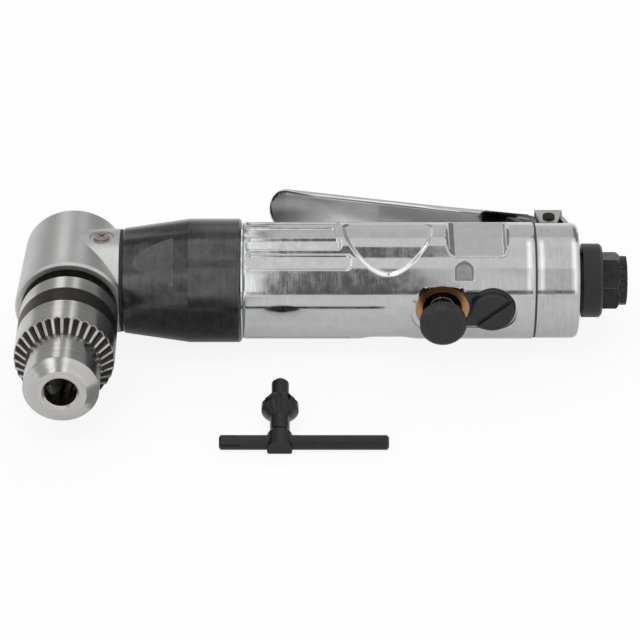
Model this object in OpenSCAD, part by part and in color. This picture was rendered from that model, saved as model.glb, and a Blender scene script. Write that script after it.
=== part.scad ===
// Right-angle air drill with a keyed chuck, lying on its side with its chuck key in front of it.
// The body runs along +X, the chuck points to -Y, the throttle lever is on the +Y side, +Z is up.
// The origin is on the chuck axis, where the straight wall of the jaw bore begins.
// Inside this file the chuck axis and the body axis cross at zero, and in_frame() shifts the result.

/* [Angle head] */
// Half height of the angle head along the chuck axis
head_half = 18.4; // [18.2:0.1:20]
// Head radius at its closed end
head_top_r = 16.9; // [16.6:0.1:17.6]
// Head radius at its chuck end
head_low_r = 18.1; // [17.8:0.1:19]
// Rounding of the closed end's rim
head_round = 1.6; // [0.8:0.1:2.4]
// Radius of the neck
neck_r = 17.3; // [16.9:0.1:17.8]
// Neck end face, measured from the chuck axis
neck_end = 16.2; // [15.6:0.1:17]
// Thickness of the seal between neck and collar
seal_w = 1.1; // [0.8:0.1:1.6]
// Radius of the neck's spigot inside the collar
spigot_r = 14.4; // [13.8:0.1:15]

/* [Collar] */
// Length of the collar
collar_len = 39.2; // [37:0.1:42]
// Collar radius at the neck
collar_small_r = 17.6; // [17.4:0.1:18.4]
// Collar radius at the body
collar_r = 20.7; // [20.2:0.1:22]
// Length of the collar's cone
collar_cone_len = 21.9; // [20:0.1:24]
// Distance of the spanner flats from the axis
flat_dist = 18.05; // [17.9:0.05:18.6]
// End of the spanner flats, measured from the collar's small end
flat_end = 16.7; // [14:0.1:19]
// Direction of the spanner flats round the body, from the chuck side upwards
flat_psi = 52; // [40:1:64]
// Width of the bright lip between collar and body
lip_w = 0.7; // [0.5:0.1:1.2]

/* [Body] */
// Outer radius of the body
body_r = 19.5; // [19.2:0.1:20]
// Length of the body behind the collar
body_len = 96.7; // [92:0.1:102]
// Thickness of the rear gasket
gasket_w = 0.6; // [0.4:0.1:1]
// Length of the rear cap
cap_len = 14.3; // [13.5:0.1:16]
// Radius of the rear cap
cap_r = 19.2; // [18.8:0.1:19.5]
// Depth of the grip flutes
flute_depth = 0.7; // [0.4:0.05:0.9]
// Widths of the grip flutes, from the chuck side to the side face
flute_widths = [5.1, 4.4, 3.7, 4.4];
// Lengths of the grip flutes, from the chuck side to the side face
flute_lengths = [34.8, 31.2, 29.7, 31.2];
// Angle between neighbouring flutes
flute_pitch = 20; // [18:0.5:22]
// Depth of the shield shaped side panel
panel_depth = 0.6; // [0.3:0.05:0.9]
// Half length of the side panel along the body
panel_half = 14.7; // [12:0.1:16]
// Distance of the side flats from the axis
side_flat = 16.3; // [16:0.05:17.5]
// Length of the side flats
side_flat_len = 14.4; // [12:0.1:16]
// Depth of the small pocket beside the reverse knob
pocket_depth = 1.5; // [0.8:0.1:1.8]
// Width of the small pocket
pocket_w = 5.8; // [4:0.1:7]

/* [Inlet] */
// Radius of the exhaust ring
ring_r = 12.35; // [12:0.05:13.5]
// Length of the exhaust ring
ring_len = 6.5; // [5.5:0.1:8]
// Across-flats size of the inlet hexagon
hex_af = 17; // [16.5:0.1:19]
// Length of the inlet hexagon
hex_len = 6.1; // [5:0.1:8]
// Radius of the inlet's end ring
end_r = 8.2; // [7.6:0.1:8.5]
// Length of the inlet's end ring
end_len = 2.2; // [1.8:0.1:3]
// Radius of the tapped air inlet
inlet_bore_r = 5.7; // [5.2:0.1:6.2]

/* [Throttle] */
// Hinge axis above the body axis
hinge_y = 27.5; // [26.5:0.1:29]
// Hinge axis behind the rear cap's front face
hinge_back = 6.1; // [5.4:0.1:7]
// Distance from the hinge to the throttle stem
hinge_to_stem = 19; // [18:0.1:20]
// Distance from the hinge to the lever's free end
lever_len = 95.3; // [88:0.1:100]
// Height of the lever's free end over its flat part
lever_rise = 14.5; // [11:0.1:17]
// Sheet thickness of the lever
lever_t = 1.2; // [1:0.1:1.6]
// Half width of the lever at its free end
lever_half_w = 8.5; // [8:0.1:9.5]
// Depth of the lever's folded lips
lip_depth = 3; // [2.4:0.1:4]
// Radius of the hinge pin
pin_r = 1.5; // [1.2:0.05:1.8]
// Sheet thickness of the hinge bracket
bracket_t = 1.5; // [1.2:0.1:1.8]
// Radius of the throttle stem
stem_r = 2.4; // [2:0.05:2.8]
// Travel of the throttle stem
stem_travel = 2.65; // [2:0.05:2.7]

/* [Reverse valve] */
// Reverse knob axis in front of the body's rear face
reverse_front = 30.7; // [30:0.1:32]
// Distance from the reverse knob to the regulator
knob_pitch = 16.5; // [16:0.1:17.5]
// Radius of the reverse knob
knob_r = 7.65; // [7:0.05:8.2]
// Thickness of the reverse knob's rim
knob_t = 3.7; // [3:0.1:4.5]
// Face of the reverse knob, from the body axis
knob_face = 28.4; // [27:0.1:30]
// Radius of the valve bush
bush_r = 8.8; // [8.4:0.05:9]
// Radius of the turning valve
valve_r = 6.5; // [6:0.05:6.8]
// Radius of the regulator's slotted head
disc_r = 7.05; // [6.6:0.05:7.6]
// Seat of the valve bush and link plate, from the body axis
valve_seat = 17.5; // [17.2:0.05:18]

/* [Chuck] */
// Gap between the head and the chuck's back
chuck_gap = 4.1; // [3.8:0.1:5]
// Outer radius of the chuck
chuck_r = 16.3; // [16:0.05:17]
// Length of the chuck body's back rim
chuck_rim = 7; // [6.4:0.1:7.6]
// Length of the turning sleeve
sleeve_len = 21.3; // [20.5:0.1:22]
// Length of the sleeve's dark band
band_len = 7.2; // [5:0.1:8]
// Number of teeth on the sleeve
sleeve_teeth = 32; // [28:1:36]
// Radius of the chuck's nose
nose_r = 12.3; // [12:0.05:12.8]
// Whole length of the chuck
chuck_len = 44.5; // [43.5:0.1:46]
// Radius of the nose face
nose_face_r = 8.44; // [8:0.05:9]
// Radius of the jaw bore
bore_r = 5.25; // [4.9:0.05:5.3]
// Length of the bore that guides the shank, in front of the jaws' wider room
bore_guide = 9; // [7:0.1:10]
// Chamfer at the mouth of the jaw bore
mouth_chamfer = 0.7; // [0.4:0.05:1]
// Slope of the jaws to the chuck axis in degrees
jaw_slope = 15; // [14.5:0.1:15.5]
// Radius of a jaw
jaw_r = 3.1; // [2.9:0.05:3.15]
// Length of a jaw along the chuck axis
jaw_len = 23.5; // [22:0.1:24]
// Travel of a jaw along its own slope
jaw_travel = 20.8; // [20.5:0.1:21]
// Radius of the key's pilot hole
key_hole_r = 2.95; // [2.7:0.05:3]

/* [Chuck key] */
// Length of the key's cross bar
bar_len = 54.6; // [50:0.1:60]
// Radius of the key's cross bar
bar_r = 2.4; // [2.2:0.05:2.6]
// Radius of the key's shank
shank_r = 3.2; // [3:0.05:3.5]
// Radius of the key's toothed head
pinion_r = 6.05; // [5.6:0.05:6.4]
// Radius of the key's pilot
pilot_r = 2.85; // [2.6:0.05:2.9]
// Distance of the key's cross bar in front of the chuck and body axes' crossing
bar_front = 68; // [67:0.5:90]
// Cross bar centre along the body
bar_x = 77.6; // [70:0.5:95]
// Shank position along the body
shank_x = 69.8; // [66:0.5:84]

/* [Gears] */
// Module of the planetary gears
planet_module = 0.8; // [0.78:0.01:0.8]
// Teeth of the sun gear and of each planet gear
sun_teeth = 12; // [12:1:12]
// Module of the bevel gears at their outer ends
bevel_module = 0.9; // [0.85:0.01:0.9]
// Teeth of the bevel gear on the spindle
bevel_teeth = 24; // [24:1:24]
// Teeth of the bevel pinion
pinion_teeth = 16; // [16:1:16]
// Face width of the planetary gears
planet_w = 7.6; // [6.5:0.1:8]

/* [Motor] */
// Radius of the motor's bore in the body
motor_r = 16; // [15.8:0.05:16.1]
// Wall between the motor's room and the valve bush
valve_wall = 3.9; // [3:0.1:6]
// Bore radius of the cylinder liner
liner_bore_r = 13.2; // [13:0.05:13.3]
// Offset of the liner's bore from the rotor axis
liner_offset = 1.5; // [1.3:0.05:1.5]
// Radius of the rotor
rotor_r = 11.6; // [11.2:0.05:11.6]
// Number of rotor vanes
vane_count = 5; // [4:1:6]
// Thickness of a vane
vane_t = 1.5; // [1.2:0.05:1.8]

/* [Fits] */
// Radial clearance of a turning or sliding fit
run_fit = 0.05; // [0.03:0.01:0.08]
// Radial clearance of a fixed fit
still_fit = 0.03; // [0.02:0.01:0.05]
// Clear gap between pieces that move past each other
clear_gap = 0.3; // [0.25:0.05:0.4]

/* [Hidden] */
$fn = 96;
eps = 0.01;

// Stations along the body, measured from the chuck axis
collar_x = neck_end + seal_w;
lip_x = collar_x + collar_len;
body_x = lip_x + lip_w;
gasket_x = body_x + body_len;
cap_x = gasket_x + gasket_w;
tab_x = cap_x + cap_len;
ring_x = tab_x + bracket_t;
hex_x = ring_x + ring_len;
end_x = hex_x + hex_len;
inlet_x = end_x + end_len;
reverse_x = gasket_x - reverse_front;
regulator_x = reverse_x + knob_pitch;
hinge_x = cap_x + hinge_back;
stem_x = hinge_x - hinge_to_stem;

// Stations along the chuck axis, measured from the body axis towards the nose
chuck_back = head_half + chuck_gap;
sleeve_back = chuck_back + chuck_rim + clear_gap - 0.1;
sleeve_front = sleeve_back + sleeve_len;
cone_len = 4.4;
nose_end = chuck_back + chuck_len;
nose_cone_len = 2.7;
mouth_a = nose_end - mouth_chamfer;
key_hole_a = sleeve_front + clear_gap + key_hole_r;
core_r = 14.7;
core_end = sleeve_back + 6.4;
nut_r = 14.2;
nut_len = 7.6;
nut_from = sleeve_front - cone_len - 6.9;
nut_to = nut_from + nut_len;
nut_bore_back = (nose_end + 2 - nut_from) * tan(jaw_slope) + jaw_r / cos(jaw_slope) + 0.15;
nut_bore_front = nut_bore_back - nut_len * tan(jaw_slope);
nut_floor_r = nut_bore_front - clear_gap;
bore_depth = 26;
room_r = bore_r + 0.3;
guide_back = mouth_a - bore_guide;
thread_r = 4.76;
thread_len = 14;
screw_floor = 16.1;

// Gear train
planet_teeth = sun_teeth;
ring_teeth = sun_teeth + 2 * planet_teeth;
planet_orbit = planet_module * (sun_teeth + planet_teeth) / 2;
bevel_angle = atan(bevel_teeth / pinion_teeth);
bevel_cone = bevel_module * sqrt(bevel_teeth * bevel_teeth + pinion_teeth * pinion_teeth) / 2;
bevel_face = bevel_cone / 3;
pinion_back = bevel_module * bevel_teeth / 2 + 1.1;
gear_back = bevel_module * pinion_teeth / 2 + 1.65;

// Bearings: bore radius, outer radius and width
spindle_race = [7.5, 16, 8];
pinion_race = [5, 11, 6];
rotor_race = [3, 9.5, 6];
spindle_race_a = 8.3;
pinion_race_x = neck_end + 0.3;
carrier_x = pinion_race_x + pinion_race[2] + 0.7;
carrier_t = 3.4;
planet_x = carrier_x + carrier_t + clear_gap;
ring_gear_w = planet_w + 1.6;
gear_room_r = 16.4;
gear_room_end = planet_x + ring_gear_w - 0.2;
body_spigot_r = 17.75;
body_spigot_x = body_x - 14.7;
plate_len = 9;
liner_x = body_spigot_x + plate_len;
liner_len = reverse_x - bush_r - valve_wall - plate_len - liner_x;
rear_plate_x = liner_x + liner_len;
motor_end = rear_plate_x + plate_len;

// Lever and bracket
lever_flat = hinge_y + 5;
plate_top = lever_flat - 0.2;
ear_lever = [4.9, 6.1];
ear_bracket = [6.4, 7.9];
bracket_half = 4.7;
stem_top = lever_flat - lever_t - clear_gap;
valve_hollow_r = 6.2;
valve_seat_y = 6;
poppet_top = valve_seat_y - clear_gap;
poppet_t = 2.6;
spring_floor = -6;
port_y = 7.2;
port_r = 0.9;
airway_r = 4.4;

// Chuck key lying on the surface that the collar rests on
key_reach = 17;
key_tilt = asin((pinion_r - bar_r) / key_reach);
floor_z = -collar_r;

// Points of an arc about a centre
function arc(cx, cy, r, from, to, steps) =
    [for (i = [0:steps]) let (t = from + (to - from) * i / steps) [cx + r * cos(t), cy + r * sin(t)]];

// Involute angle in degrees
function involute(angle) = tan(angle) * 180 / PI - angle;

// Half angle of a tooth at one radius
function half_tooth(teeth, pitch_r, r, play) =
    90 / teeth - play + involute(20)
    - (r > pitch_r * cos(20) ? involute(acos(pitch_r * cos(20) / r)) : 0);

// Outline of a spur gear, with its first tooth on the local x axis
function gear_outline(teeth, module_size, tip, root, play) =
    let (pitch_r = teeth * module_size / 2)
    let (radii = [for (i = [0:4]) root + (tip - root) * i / 4])
    [for (tooth = [0:teeth - 1])
        let (mid = tooth * 360 / teeth)
        for (side = [-1, 1])
            for (i = [0:4])
                let (r = side < 0 ? radii[i] : radii[4 - i])
                let (t = mid + side * half_tooth(teeth, pitch_r, r, play))
                [r * cos(t), r * sin(t)]];

// Outline of a straight bevel gear in the plane through its outer pitch circle
function bevel_outline(teeth, cone_angle) =
    let (height = bevel_cone * cos(cone_angle))
    let (virtual_r = bevel_cone * tan(cone_angle))
    let (virtual_teeth = teeth / cos(cone_angle))
    [for (tooth = [0:teeth - 1])
        let (mid = tooth * 360 / teeth)
        for (side = [-1, 1])
            for (i = [0:4])
                let (step = side < 0 ? i : 4 - i)
                let (rho = virtual_r + bevel_module * (-1.25 + 2.25 * step / 4))
                let (turn = half_tooth(virtual_teeth, virtual_r, rho, 0.25) / cos(cone_angle))
                let (delta = cone_angle + (rho - virtual_r) / bevel_cone * 180 / PI)
                let (r = height * tan(delta))
                [r * cos(mid + side * turn), r * sin(mid + side * turn)]];

// Moves the finished part so that the mouth of the jaw bore is the origin
module in_frame() {
    translate([0, mouth_a, 0]) children();
}

// Local z becomes the chuck axis, away from the head
module on_chuck() {
    rotate([90, 0, 0]) children();
}

// Local z becomes the body axis, towards the inlet
module on_body(x = 0) {
    translate([x, 0, 0]) rotate([0, 90, 0]) children();
}

// Local z becomes the direction at an angle round the body, from the chuck side upwards
module at_psi(psi) {
    rotate([-psi, 0, 0]) rotate([90, 0, 0]) children();
}

// A ring standing on its local plane
module ring(outer, inner, height) {
    difference() {
        cylinder(r = outer, h = height);
        translate([0, 0, -eps]) cylinder(r = inner, h = height + 2 * eps);
    }
}

// A flat bar with round ends, along x
module stadium(from, to, width) {
    translate([from + width / 2, -width / 2]) square([to - from - width, width]);
    for (x = [from + width / 2, to - width / 2])
        translate([x, 0]) circle(d = width);
}

// Rings and balls of a ball bearing; the inner ring can be left to another node
module ball_bearing(race, balls, inner = true) {
    ball_r = (race[1] - race[0]) * 0.27;
    mid_r = (race[0] + race[1]) / 2;
    difference() {
        ring(race[1] - still_fit, mid_r + ball_r * 0.55, race[2]);
        translate([0, 0, race[2] / 2]) rotate_extrude()
            translate([mid_r, 0]) circle(r = ball_r + run_fit);
    }
    if (inner)
        bearing_inner(race);
    for (i = [0:balls - 1])
        rotate([0, 0, i * 360 / balls]) translate([mid_r, 0, race[2] / 2])
            sphere(r = ball_r, $fn = 32);
}

// Inner ring of a ball bearing
module bearing_inner(race) {
    ball_r = (race[1] - race[0]) * 0.27;
    mid_r = (race[0] + race[1]) / 2;
    difference() {
        ring(mid_r - ball_r * 0.55, race[0], race[2]);
        translate([0, 0, race[2] / 2]) rotate_extrude()
            translate([mid_r, 0]) circle(r = ball_r + run_fit);
    }
}

// Toothed blank of a bevel gear, with its apex at zero and its back up along z
module bevel_blank(teeth, cone_angle) {
    pitch = bevel_cone * [sin(cone_angle), cos(cone_angle)];
    out = [cos(cone_angle), -sin(cone_angle)];
    inner = 1 - bevel_face / bevel_cone;
    tip = pitch + bevel_module * out;
    deep = pitch - 2.2 * bevel_module * out;
    far = 1.3;
    intersection() {
        rotate_extrude()
            polygon([tip, tip * inner, deep * inner, [0, deep[1] * inner], [0, deep[1]], deep]);
        mirror([0, 0, 1]) translate([0, 0, -far * pitch[1]])
            linear_extrude(height = (far - 0.5) * pitch[1], scale = 0.5 / far)
                scale(far) polygon(bevel_outline(teeth, cone_angle));
    }
}

// Head casting: the upright barrel, the neck and the spigot that enters the collar
module angle_head() {
    bottom = head_half - 1.2;
    color("#b9b9ba") difference() {
        union() {
            on_chuck() rotate_extrude()
                polygon(concat(
                    [[0, -head_half]],
                    arc(head_top_r - head_round, -head_half + head_round, head_round, 270, 360, 6),
                    [[head_low_r, bottom], [head_low_r - 0.5, head_half], [0, head_half]]));
            on_body() cylinder(r = neck_r, h = neck_end);
            on_body(neck_end - eps)
                cylinder(r = spigot_r, h = pinion_race_x + pinion_race[2] - neck_end);
        }
        on_chuck() translate([0, 0, -gear_back - 2.1]) cylinder(r = 12.6, h = gear_back + 12);
        on_chuck() translate([0, 0, spindle_race_a]) cylinder(r = spindle_race[1], h = head_half);
        on_chuck() translate([0, 0, spindle_race_a + spindle_race[2] + 0.1])
            cylinder(r = spindle_race[1] + 0.9, h = 1);
        on_chuck() translate([0, 0, -head_half + 2]) cylinder(r = 6, h = head_half);
        on_body() cylinder(r = 8.7, h = neck_end + 10);
        on_body(neck_end) ring(head_low_r + 6, spigot_r, 8);
        on_body(pinion_race_x) cylinder(r = pinion_race[1], h = pinion_race[2] + 1);
        translate([10.2, 0, 16.6]) cylinder(r = 4, h = 5);
        translate([10.2, 0, 12]) cylinder(r = 1.9, h = 10);
        translate([-head_low_r - 1, -14.6, 0]) rotate([0, 90, 0]) cylinder(r = 1.25, h = 4);
    }
}

// Cross recessed screw on top of the neck
module head_screw() {
    color("#8d8a86") translate([10.2, 0, 0]) difference() {
        union() {
            translate([0, 0, 16.6]) cylinder(r = 2.7, h = 1);
            translate([0, 0, 13]) cylinder(r = 1.9 - still_fit, h = 4);
        }
        for (turn = [45, 135])
            rotate([0, 0, turn]) translate([-1.6, -0.3, 17]) cube([3.2, 0.6, 2]);
    }
}

// Grub screw that locks the spindle bearing
module lock_screw() {
    color("#5a5856") translate([-head_low_r + 0.25, -14.6, 0]) rotate([0, 90, 0]) difference() {
        cylinder(r = 1.25 - still_fit, h = head_low_r - spindle_race[1] - 0.35);
        translate([0, 0, -eps]) cylinder(r = 0.6, h = 0.8, $fn = 6);
    }
}

// Snap ring that holds the spindle bearing, with its gap beside the neck, where the wall is thin
module circlip() {
    outer = spindle_race[1] + 0.8;
    gap = 2 * sqrt(outer * outer - (neck_end - 0.1) * (neck_end - 0.1));
    color("#6e6256") on_chuck() translate([0, 0, spindle_race_a + spindle_race[2] + 0.1 + run_fit])
        difference() {
            ring(outer, outer - 2.3, 1 - 2 * run_fit);
            translate([outer - 4, -gap / 2, -1]) cube([6, gap, 3]);
        }
}

// Bush that steadies the closed end of the spindle
module spindle_bush() {
    color("#a98b53") on_chuck() translate([0, 0, -head_half + 2])
        ring(6 - still_fit, 4 + run_fit, head_half - 2 - gear_back - 2.2);
}

// Fixed ring, balls and shield of the spindle's ball bearing
module spindle_bearing() {
    color("#70706f") on_chuck() translate([0, 0, spindle_race_a])
        ball_bearing(spindle_race, 12, false);
    color("#3a3836") on_chuck() translate([0, 0, spindle_race_a + spindle_race[2] - 0.5])
        ring(13.05, 10.6, 0.4);
}

// Dark seal between the head and the collar
module neck_seal() {
    color("#1c1b1b") on_body(neck_end) ring(neck_r - 0.2, spigot_r + run_fit, seal_w);
}

// Ball bearing of the bevel pinion
module pinion_bearing() {
    color("#70706f") on_body(pinion_race_x) ball_bearing(pinion_race, 9);
}

// Blackened steel collar that joins the head to the body and holds the ring gear
module collar() {
    color("#2b2b2c") difference() {
        on_body(collar_x) rotate_extrude()
            polygon([
                [0, 0], [collar_small_r - 0.4, 0], [collar_small_r, 0.4],
                [collar_r, collar_cone_len], [collar_r, collar_len - 0.6],
                [collar_r - 0.6, collar_len], [0, collar_len]]);
        on_body(collar_x - 1) cylinder(r = spigot_r + still_fit, h = 8);
        on_body(carrier_x - 0.5) cylinder(r = gear_room_r, h = gear_room_end - carrier_x + 8);
        on_body(body_spigot_x - 0.2) cylinder(r = body_spigot_r + still_fit, h = 30);
        for (side = [0, 180])
            rotate([-side, 0, 0]) at_psi(flat_psi) translate([collar_x - 1, -20, flat_dist])
                cube([flat_end + 1, 40, 10]);
    }
}

// Internal ring gear held in the collar
module ring_gear() {
    pitch_r = ring_teeth * planet_module / 2;
    color("#6c6a67") on_body(planet_x - 0.2) difference() {
        cylinder(r = gear_room_r - still_fit, h = ring_gear_w);
        translate([0, 0, -1]) linear_extrude(ring_gear_w + 2) rotate(180 / ring_teeth)
            polygon(gear_outline(ring_teeth, planet_module, pitch_r + 1.25 * planet_module,
                pitch_r - planet_module, -0.25));
    }
}

// Outline of the shield shaped side panel
module shield() {
    top = 6;
    corner = 3;
    drop = 21.3;
    polygon(concat(
        arc(panel_half - corner, top - corner, corner, 0, 90, 6),
        arc(-panel_half + corner, top - corner, corner, 90, 180, 6),
        [for (i = [1:15]) [-panel_half * cos(12 * i), top - corner - (drop - corner) * sin(12 * i)]]));
}

// Grip flutes, panels, side flats and the small pocket cut in the body's outside
module body_relief() {
    for (side = [0, 1])
        mirror([0, 0, side]) {
            for (i = [0:3])
                at_psi(50.5 + i * flute_pitch)
                    translate([0, 0, body_r - flute_depth]) linear_extrude(5)
                        stadium(body_x + 1, body_x + 1 + flute_lengths[i], flute_widths[i]);
            intersection() {
                translate([body_x + 48.1, 0, 0]) linear_extrude(40) shield();
                on_body(body_x) difference() {
                    cylinder(r = body_r + 2, h = body_len);
                    translate([0, 0, -1]) cylinder(r = body_r - panel_depth, h = body_len + 2);
                }
            }
            rotate([90, 0, 0]) translate([gasket_x - 11.8 - side_flat_len, side_flat, -30])
                linear_extrude(60) side_flat_outline();
        }
    at_psi(41.6) translate([gasket_x - 26.5, 0, body_r - pocket_depth]) linear_extrude(5) {
        translate([0, -3.1]) square([pocket_w, 3.3]);
        translate([pocket_w / 2, 0.2]) circle(d = pocket_w);
    }
}

// Side flat with its rounded ends, seen along the body's side
module side_flat_outline() {
    scoop = body_r - side_flat;
    square([side_flat_len, 10]);
    for (x = [0, side_flat_len])
        translate([x, scoop]) circle(r = scoop);
    translate([-scoop, scoop]) square([side_flat_len + 2 * scoop, 8]);
}

// Rooms and passages inside the body
module body_rooms() {
    on_body(body_spigot_x - 1) cylinder(r = motor_r, h = motor_end - body_spigot_x + 1);
    on_body(gasket_x - 6) cylinder(r = 8, h = 7);
    on_body(stem_x) cylinder(r = 4.8, h = gasket_x - stem_x);
    translate([stem_x, spring_floor, 0]) rotate([-90, 0, 0])
        cylinder(r = valve_hollow_r, h = valve_seat_y - spring_floor);
    translate([stem_x, 4, 0]) rotate([-90, 0, 0]) cylinder(r = 3.6, h = 5);
    translate([stem_x, 8, 0]) rotate([-90, 0, 0]) cylinder(r = 4.5, h = 20);
    translate([stem_x, 19, 0]) rotate([-90, 0, 0]) cylinder(r = 5.8, h = 5);
    on_body(reverse_x) translate([0, port_y, 0]) cylinder(r = port_r, h = stem_x - reverse_x);
    for (side = [-1, 1]) {
        on_body(motor_end - 1) translate([side * 4.5, 0, 0]) cylinder(r = 1.8, h = reverse_x - motor_end);
        on_body(motor_end - 1) translate([side * 11.2, -3, 0])
            cylinder(r = 1.8, h = gasket_x - motor_end + 2);
    }
    on_chuck() translate([reverse_x, 0, -10]) cylinder(r = bush_r + still_fit, h = 40);
    on_chuck() translate([regulator_x, 0, 9.5]) cylinder(r = 4, h = 20);
}

// Flat that the reverse valve, the link plate and the regulator sit on
module valve_spotface() {
    on_chuck() translate([0, 0, valve_seat]) {
        translate([reverse_x, 0, 0]) cylinder(r = 10.6, h = 10);
        translate([regulator_x, 0, 0]) cylinder(r = 8.3, h = 10);
        translate([reverse_x, -7, 0]) cube([knob_pitch, 14, 10]);
    }
}

// Polished cast body with the motor bore, the valve rooms and the bright lip at the collar
module housing() {
    color("#c9cacb") difference() {
        union() {
            on_body(body_x) rotate_extrude()
                polygon([[0, 0], [body_r - 0.4, 0], [body_r, 0.4], [body_r, body_len], [0, body_len]]);
            on_body(lip_x) cylinder(r = body_r - 0.1, h = lip_w + eps);
            on_body(body_spigot_x) cylinder(r = body_spigot_r, h = body_x - body_spigot_x);
        }
        body_relief();
        body_rooms();
        valve_spotface();
    }
}

// Front plate of the air motor with the seat of its bearing
module front_end_plate() {
    color("#8f8e8c") on_body(body_spigot_x) difference() {
        cylinder(r = motor_r - still_fit, h = plate_len);
        translate([0, 0, -1]) cylinder(r = rotor_race[1], h = 7.4);
        translate([0, 0, -1]) cylinder(r = 4, h = plate_len + 2);
    }
}

// Cylinder liner with its bore set off from the rotor axis
module cylinder_liner() {
    color("#7f7e7c") on_body(liner_x) difference() {
        cylinder(r = motor_r - still_fit, h = liner_len);
        translate([0, liner_offset, -1]) cylinder(r = liner_bore_r, h = liner_len + 2);
        for (i = [0:4])
            translate([0, 0, liner_len / 2 + (i - 2) * 7]) rotate([90, 0, 0])
                cylinder(r = 2.2, h = motor_r + 2);
    }
}

// Rear plate of the air motor with the seat of its bearing and its air ports
module rear_end_plate() {
    color("#8f8e8c") on_body(rear_plate_x) difference() {
        cylinder(r = motor_r - still_fit, h = plate_len);
        translate([0, 0, plate_len - 6.4]) cylinder(r = rotor_race[1], h = 8);
        translate([0, 0, -1]) cylinder(r = 4, h = plate_len + 2);
        for (side = [-1, 1])
            translate([side * 11.2, -3, -1]) cylinder(r = 1.8, h = plate_len + 2);
    }
}

// Ball bearing at the geared end of the rotor
module front_rotor_bearing() {
    color("#70706f") on_body(body_spigot_x + 0.4) ball_bearing(rotor_race, 7);
}

// Ball bearing at the valve end of the rotor
module rear_rotor_bearing() {
    color("#70706f") on_body(motor_end - rotor_race[2]) ball_bearing(rotor_race, 7);
}

// Brown fibre gasket between the body and the rear cap
module cap_gasket() {
    color("#4a3a32") on_body(gasket_x) difference() {
        cylinder(r = cap_r - 0.1, h = gasket_w);
        translate([0, 0, -1]) cylinder(r = 8.3, h = gasket_w + 2);
        exhaust_holes(gasket_w);
    }
}

// Exhaust holes that run through the rear pieces
module exhaust_holes(height) {
    for (side = [-1, 1])
        translate([side * 11.2, -3, -1]) cylinder(r = 1.8, h = height + 2);
}

// Cast rear cap with the lug for the lever's hinge
module rear_cap() {
    round_r = 2;
    color("#c4c5c6") difference() {
        union() {
            on_body(cap_x) rotate_extrude()
                polygon(concat([[0, 0], [cap_r, 0]],
                    arc(cap_r - round_r, cap_len - round_r, round_r, 0, 90, 6), [[0, cap_len]]));
            translate([0, 0, -ear_lever[0] + clear_gap]) linear_extrude(2 * (ear_lever[0] - clear_gap)) {
                polygon([
                    [hinge_x - 5, cap_r - 3], [hinge_x + 5, cap_r - 3],
                    [hinge_x + 2.95, hinge_y], [hinge_x - 2.95, hinge_y]]);
                translate([hinge_x, hinge_y]) circle(r = 2.95);
            }
        }
        on_body(cap_x - 1) cylinder(r = 8.3, h = cap_len + 2);
        on_body(cap_x) exhaust_holes(cap_len);
        translate([hinge_x, hinge_y, -10]) cylinder(r = pin_r + still_fit, h = 20);
    }
}

// Black exhaust ring round the inlet
module exhaust_ring() {
    color("#202021") on_body(ring_x) difference() {
        rotate_extrude() polygon([
            [8.1, 0], [ring_r, 0], [ring_r, ring_len - 0.8], [ring_r - 0.8, ring_len], [8.1, ring_len]]);
        for (i = [0:11])
            rotate([0, 0, i * 30 + 15]) translate([10.4, 0, -1]) cylinder(r = 0.9, h = ring_len - 1);
    }
}

// Inlet bushing with its hexagon and the tapped bore for the hose coupling
module inlet_bushing() {
    front = gasket_x - 5.8;
    color("#262627") difference() {
        union() {
            on_body(front) cylinder(r = 7.95, h = hex_x - front + eps);
            on_body(hex_x) rotate([0, 0, 13]) intersection() {
                cylinder(d = hex_af / cos(30), h = hex_len, $fn = 6);
                rotate_extrude() polygon([
                    [0, 0], [hex_af / 2 + 1.4, 0], [hex_af / 2 + 1.4, hex_len - 1.2],
                    [hex_af / 2 - 0.2, hex_len], [0, hex_len]]);
            }
        }
        on_body(front - 1) cylinder(r = airway_r, h = 60);
        on_body(tab_x) cylinder(r = inlet_bore_r, h = 60);
    }
}

// Serrated ring at the mouth of the inlet
module inlet_ring() {
    color("#2e2d2d") on_body(end_x) difference() {
        cylinder(r = end_r, h = end_len);
        translate([0, 0, -1]) cylinder(r = inlet_bore_r, h = end_len + 2);
        for (i = [0:23])
            rotate([0, 0, i * 15]) translate([end_r + 0.15, 0, -1])
                cylinder(r = 0.55, h = end_len + 2, $fn = 16);
    }
}

// Sieve inside the inlet
module inlet_screen() {
    color("#9a8c62") on_body(tab_x - 1.2) difference() {
        cylinder(r = airway_r - still_fit, h = 0.8);
        for (i = [0:6])
            rotate([0, 0, i * 60]) translate([i == 6 ? 0 : 2.6, 0, -1]) cylinder(r = 0.8, h = 3);
    }
}

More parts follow.
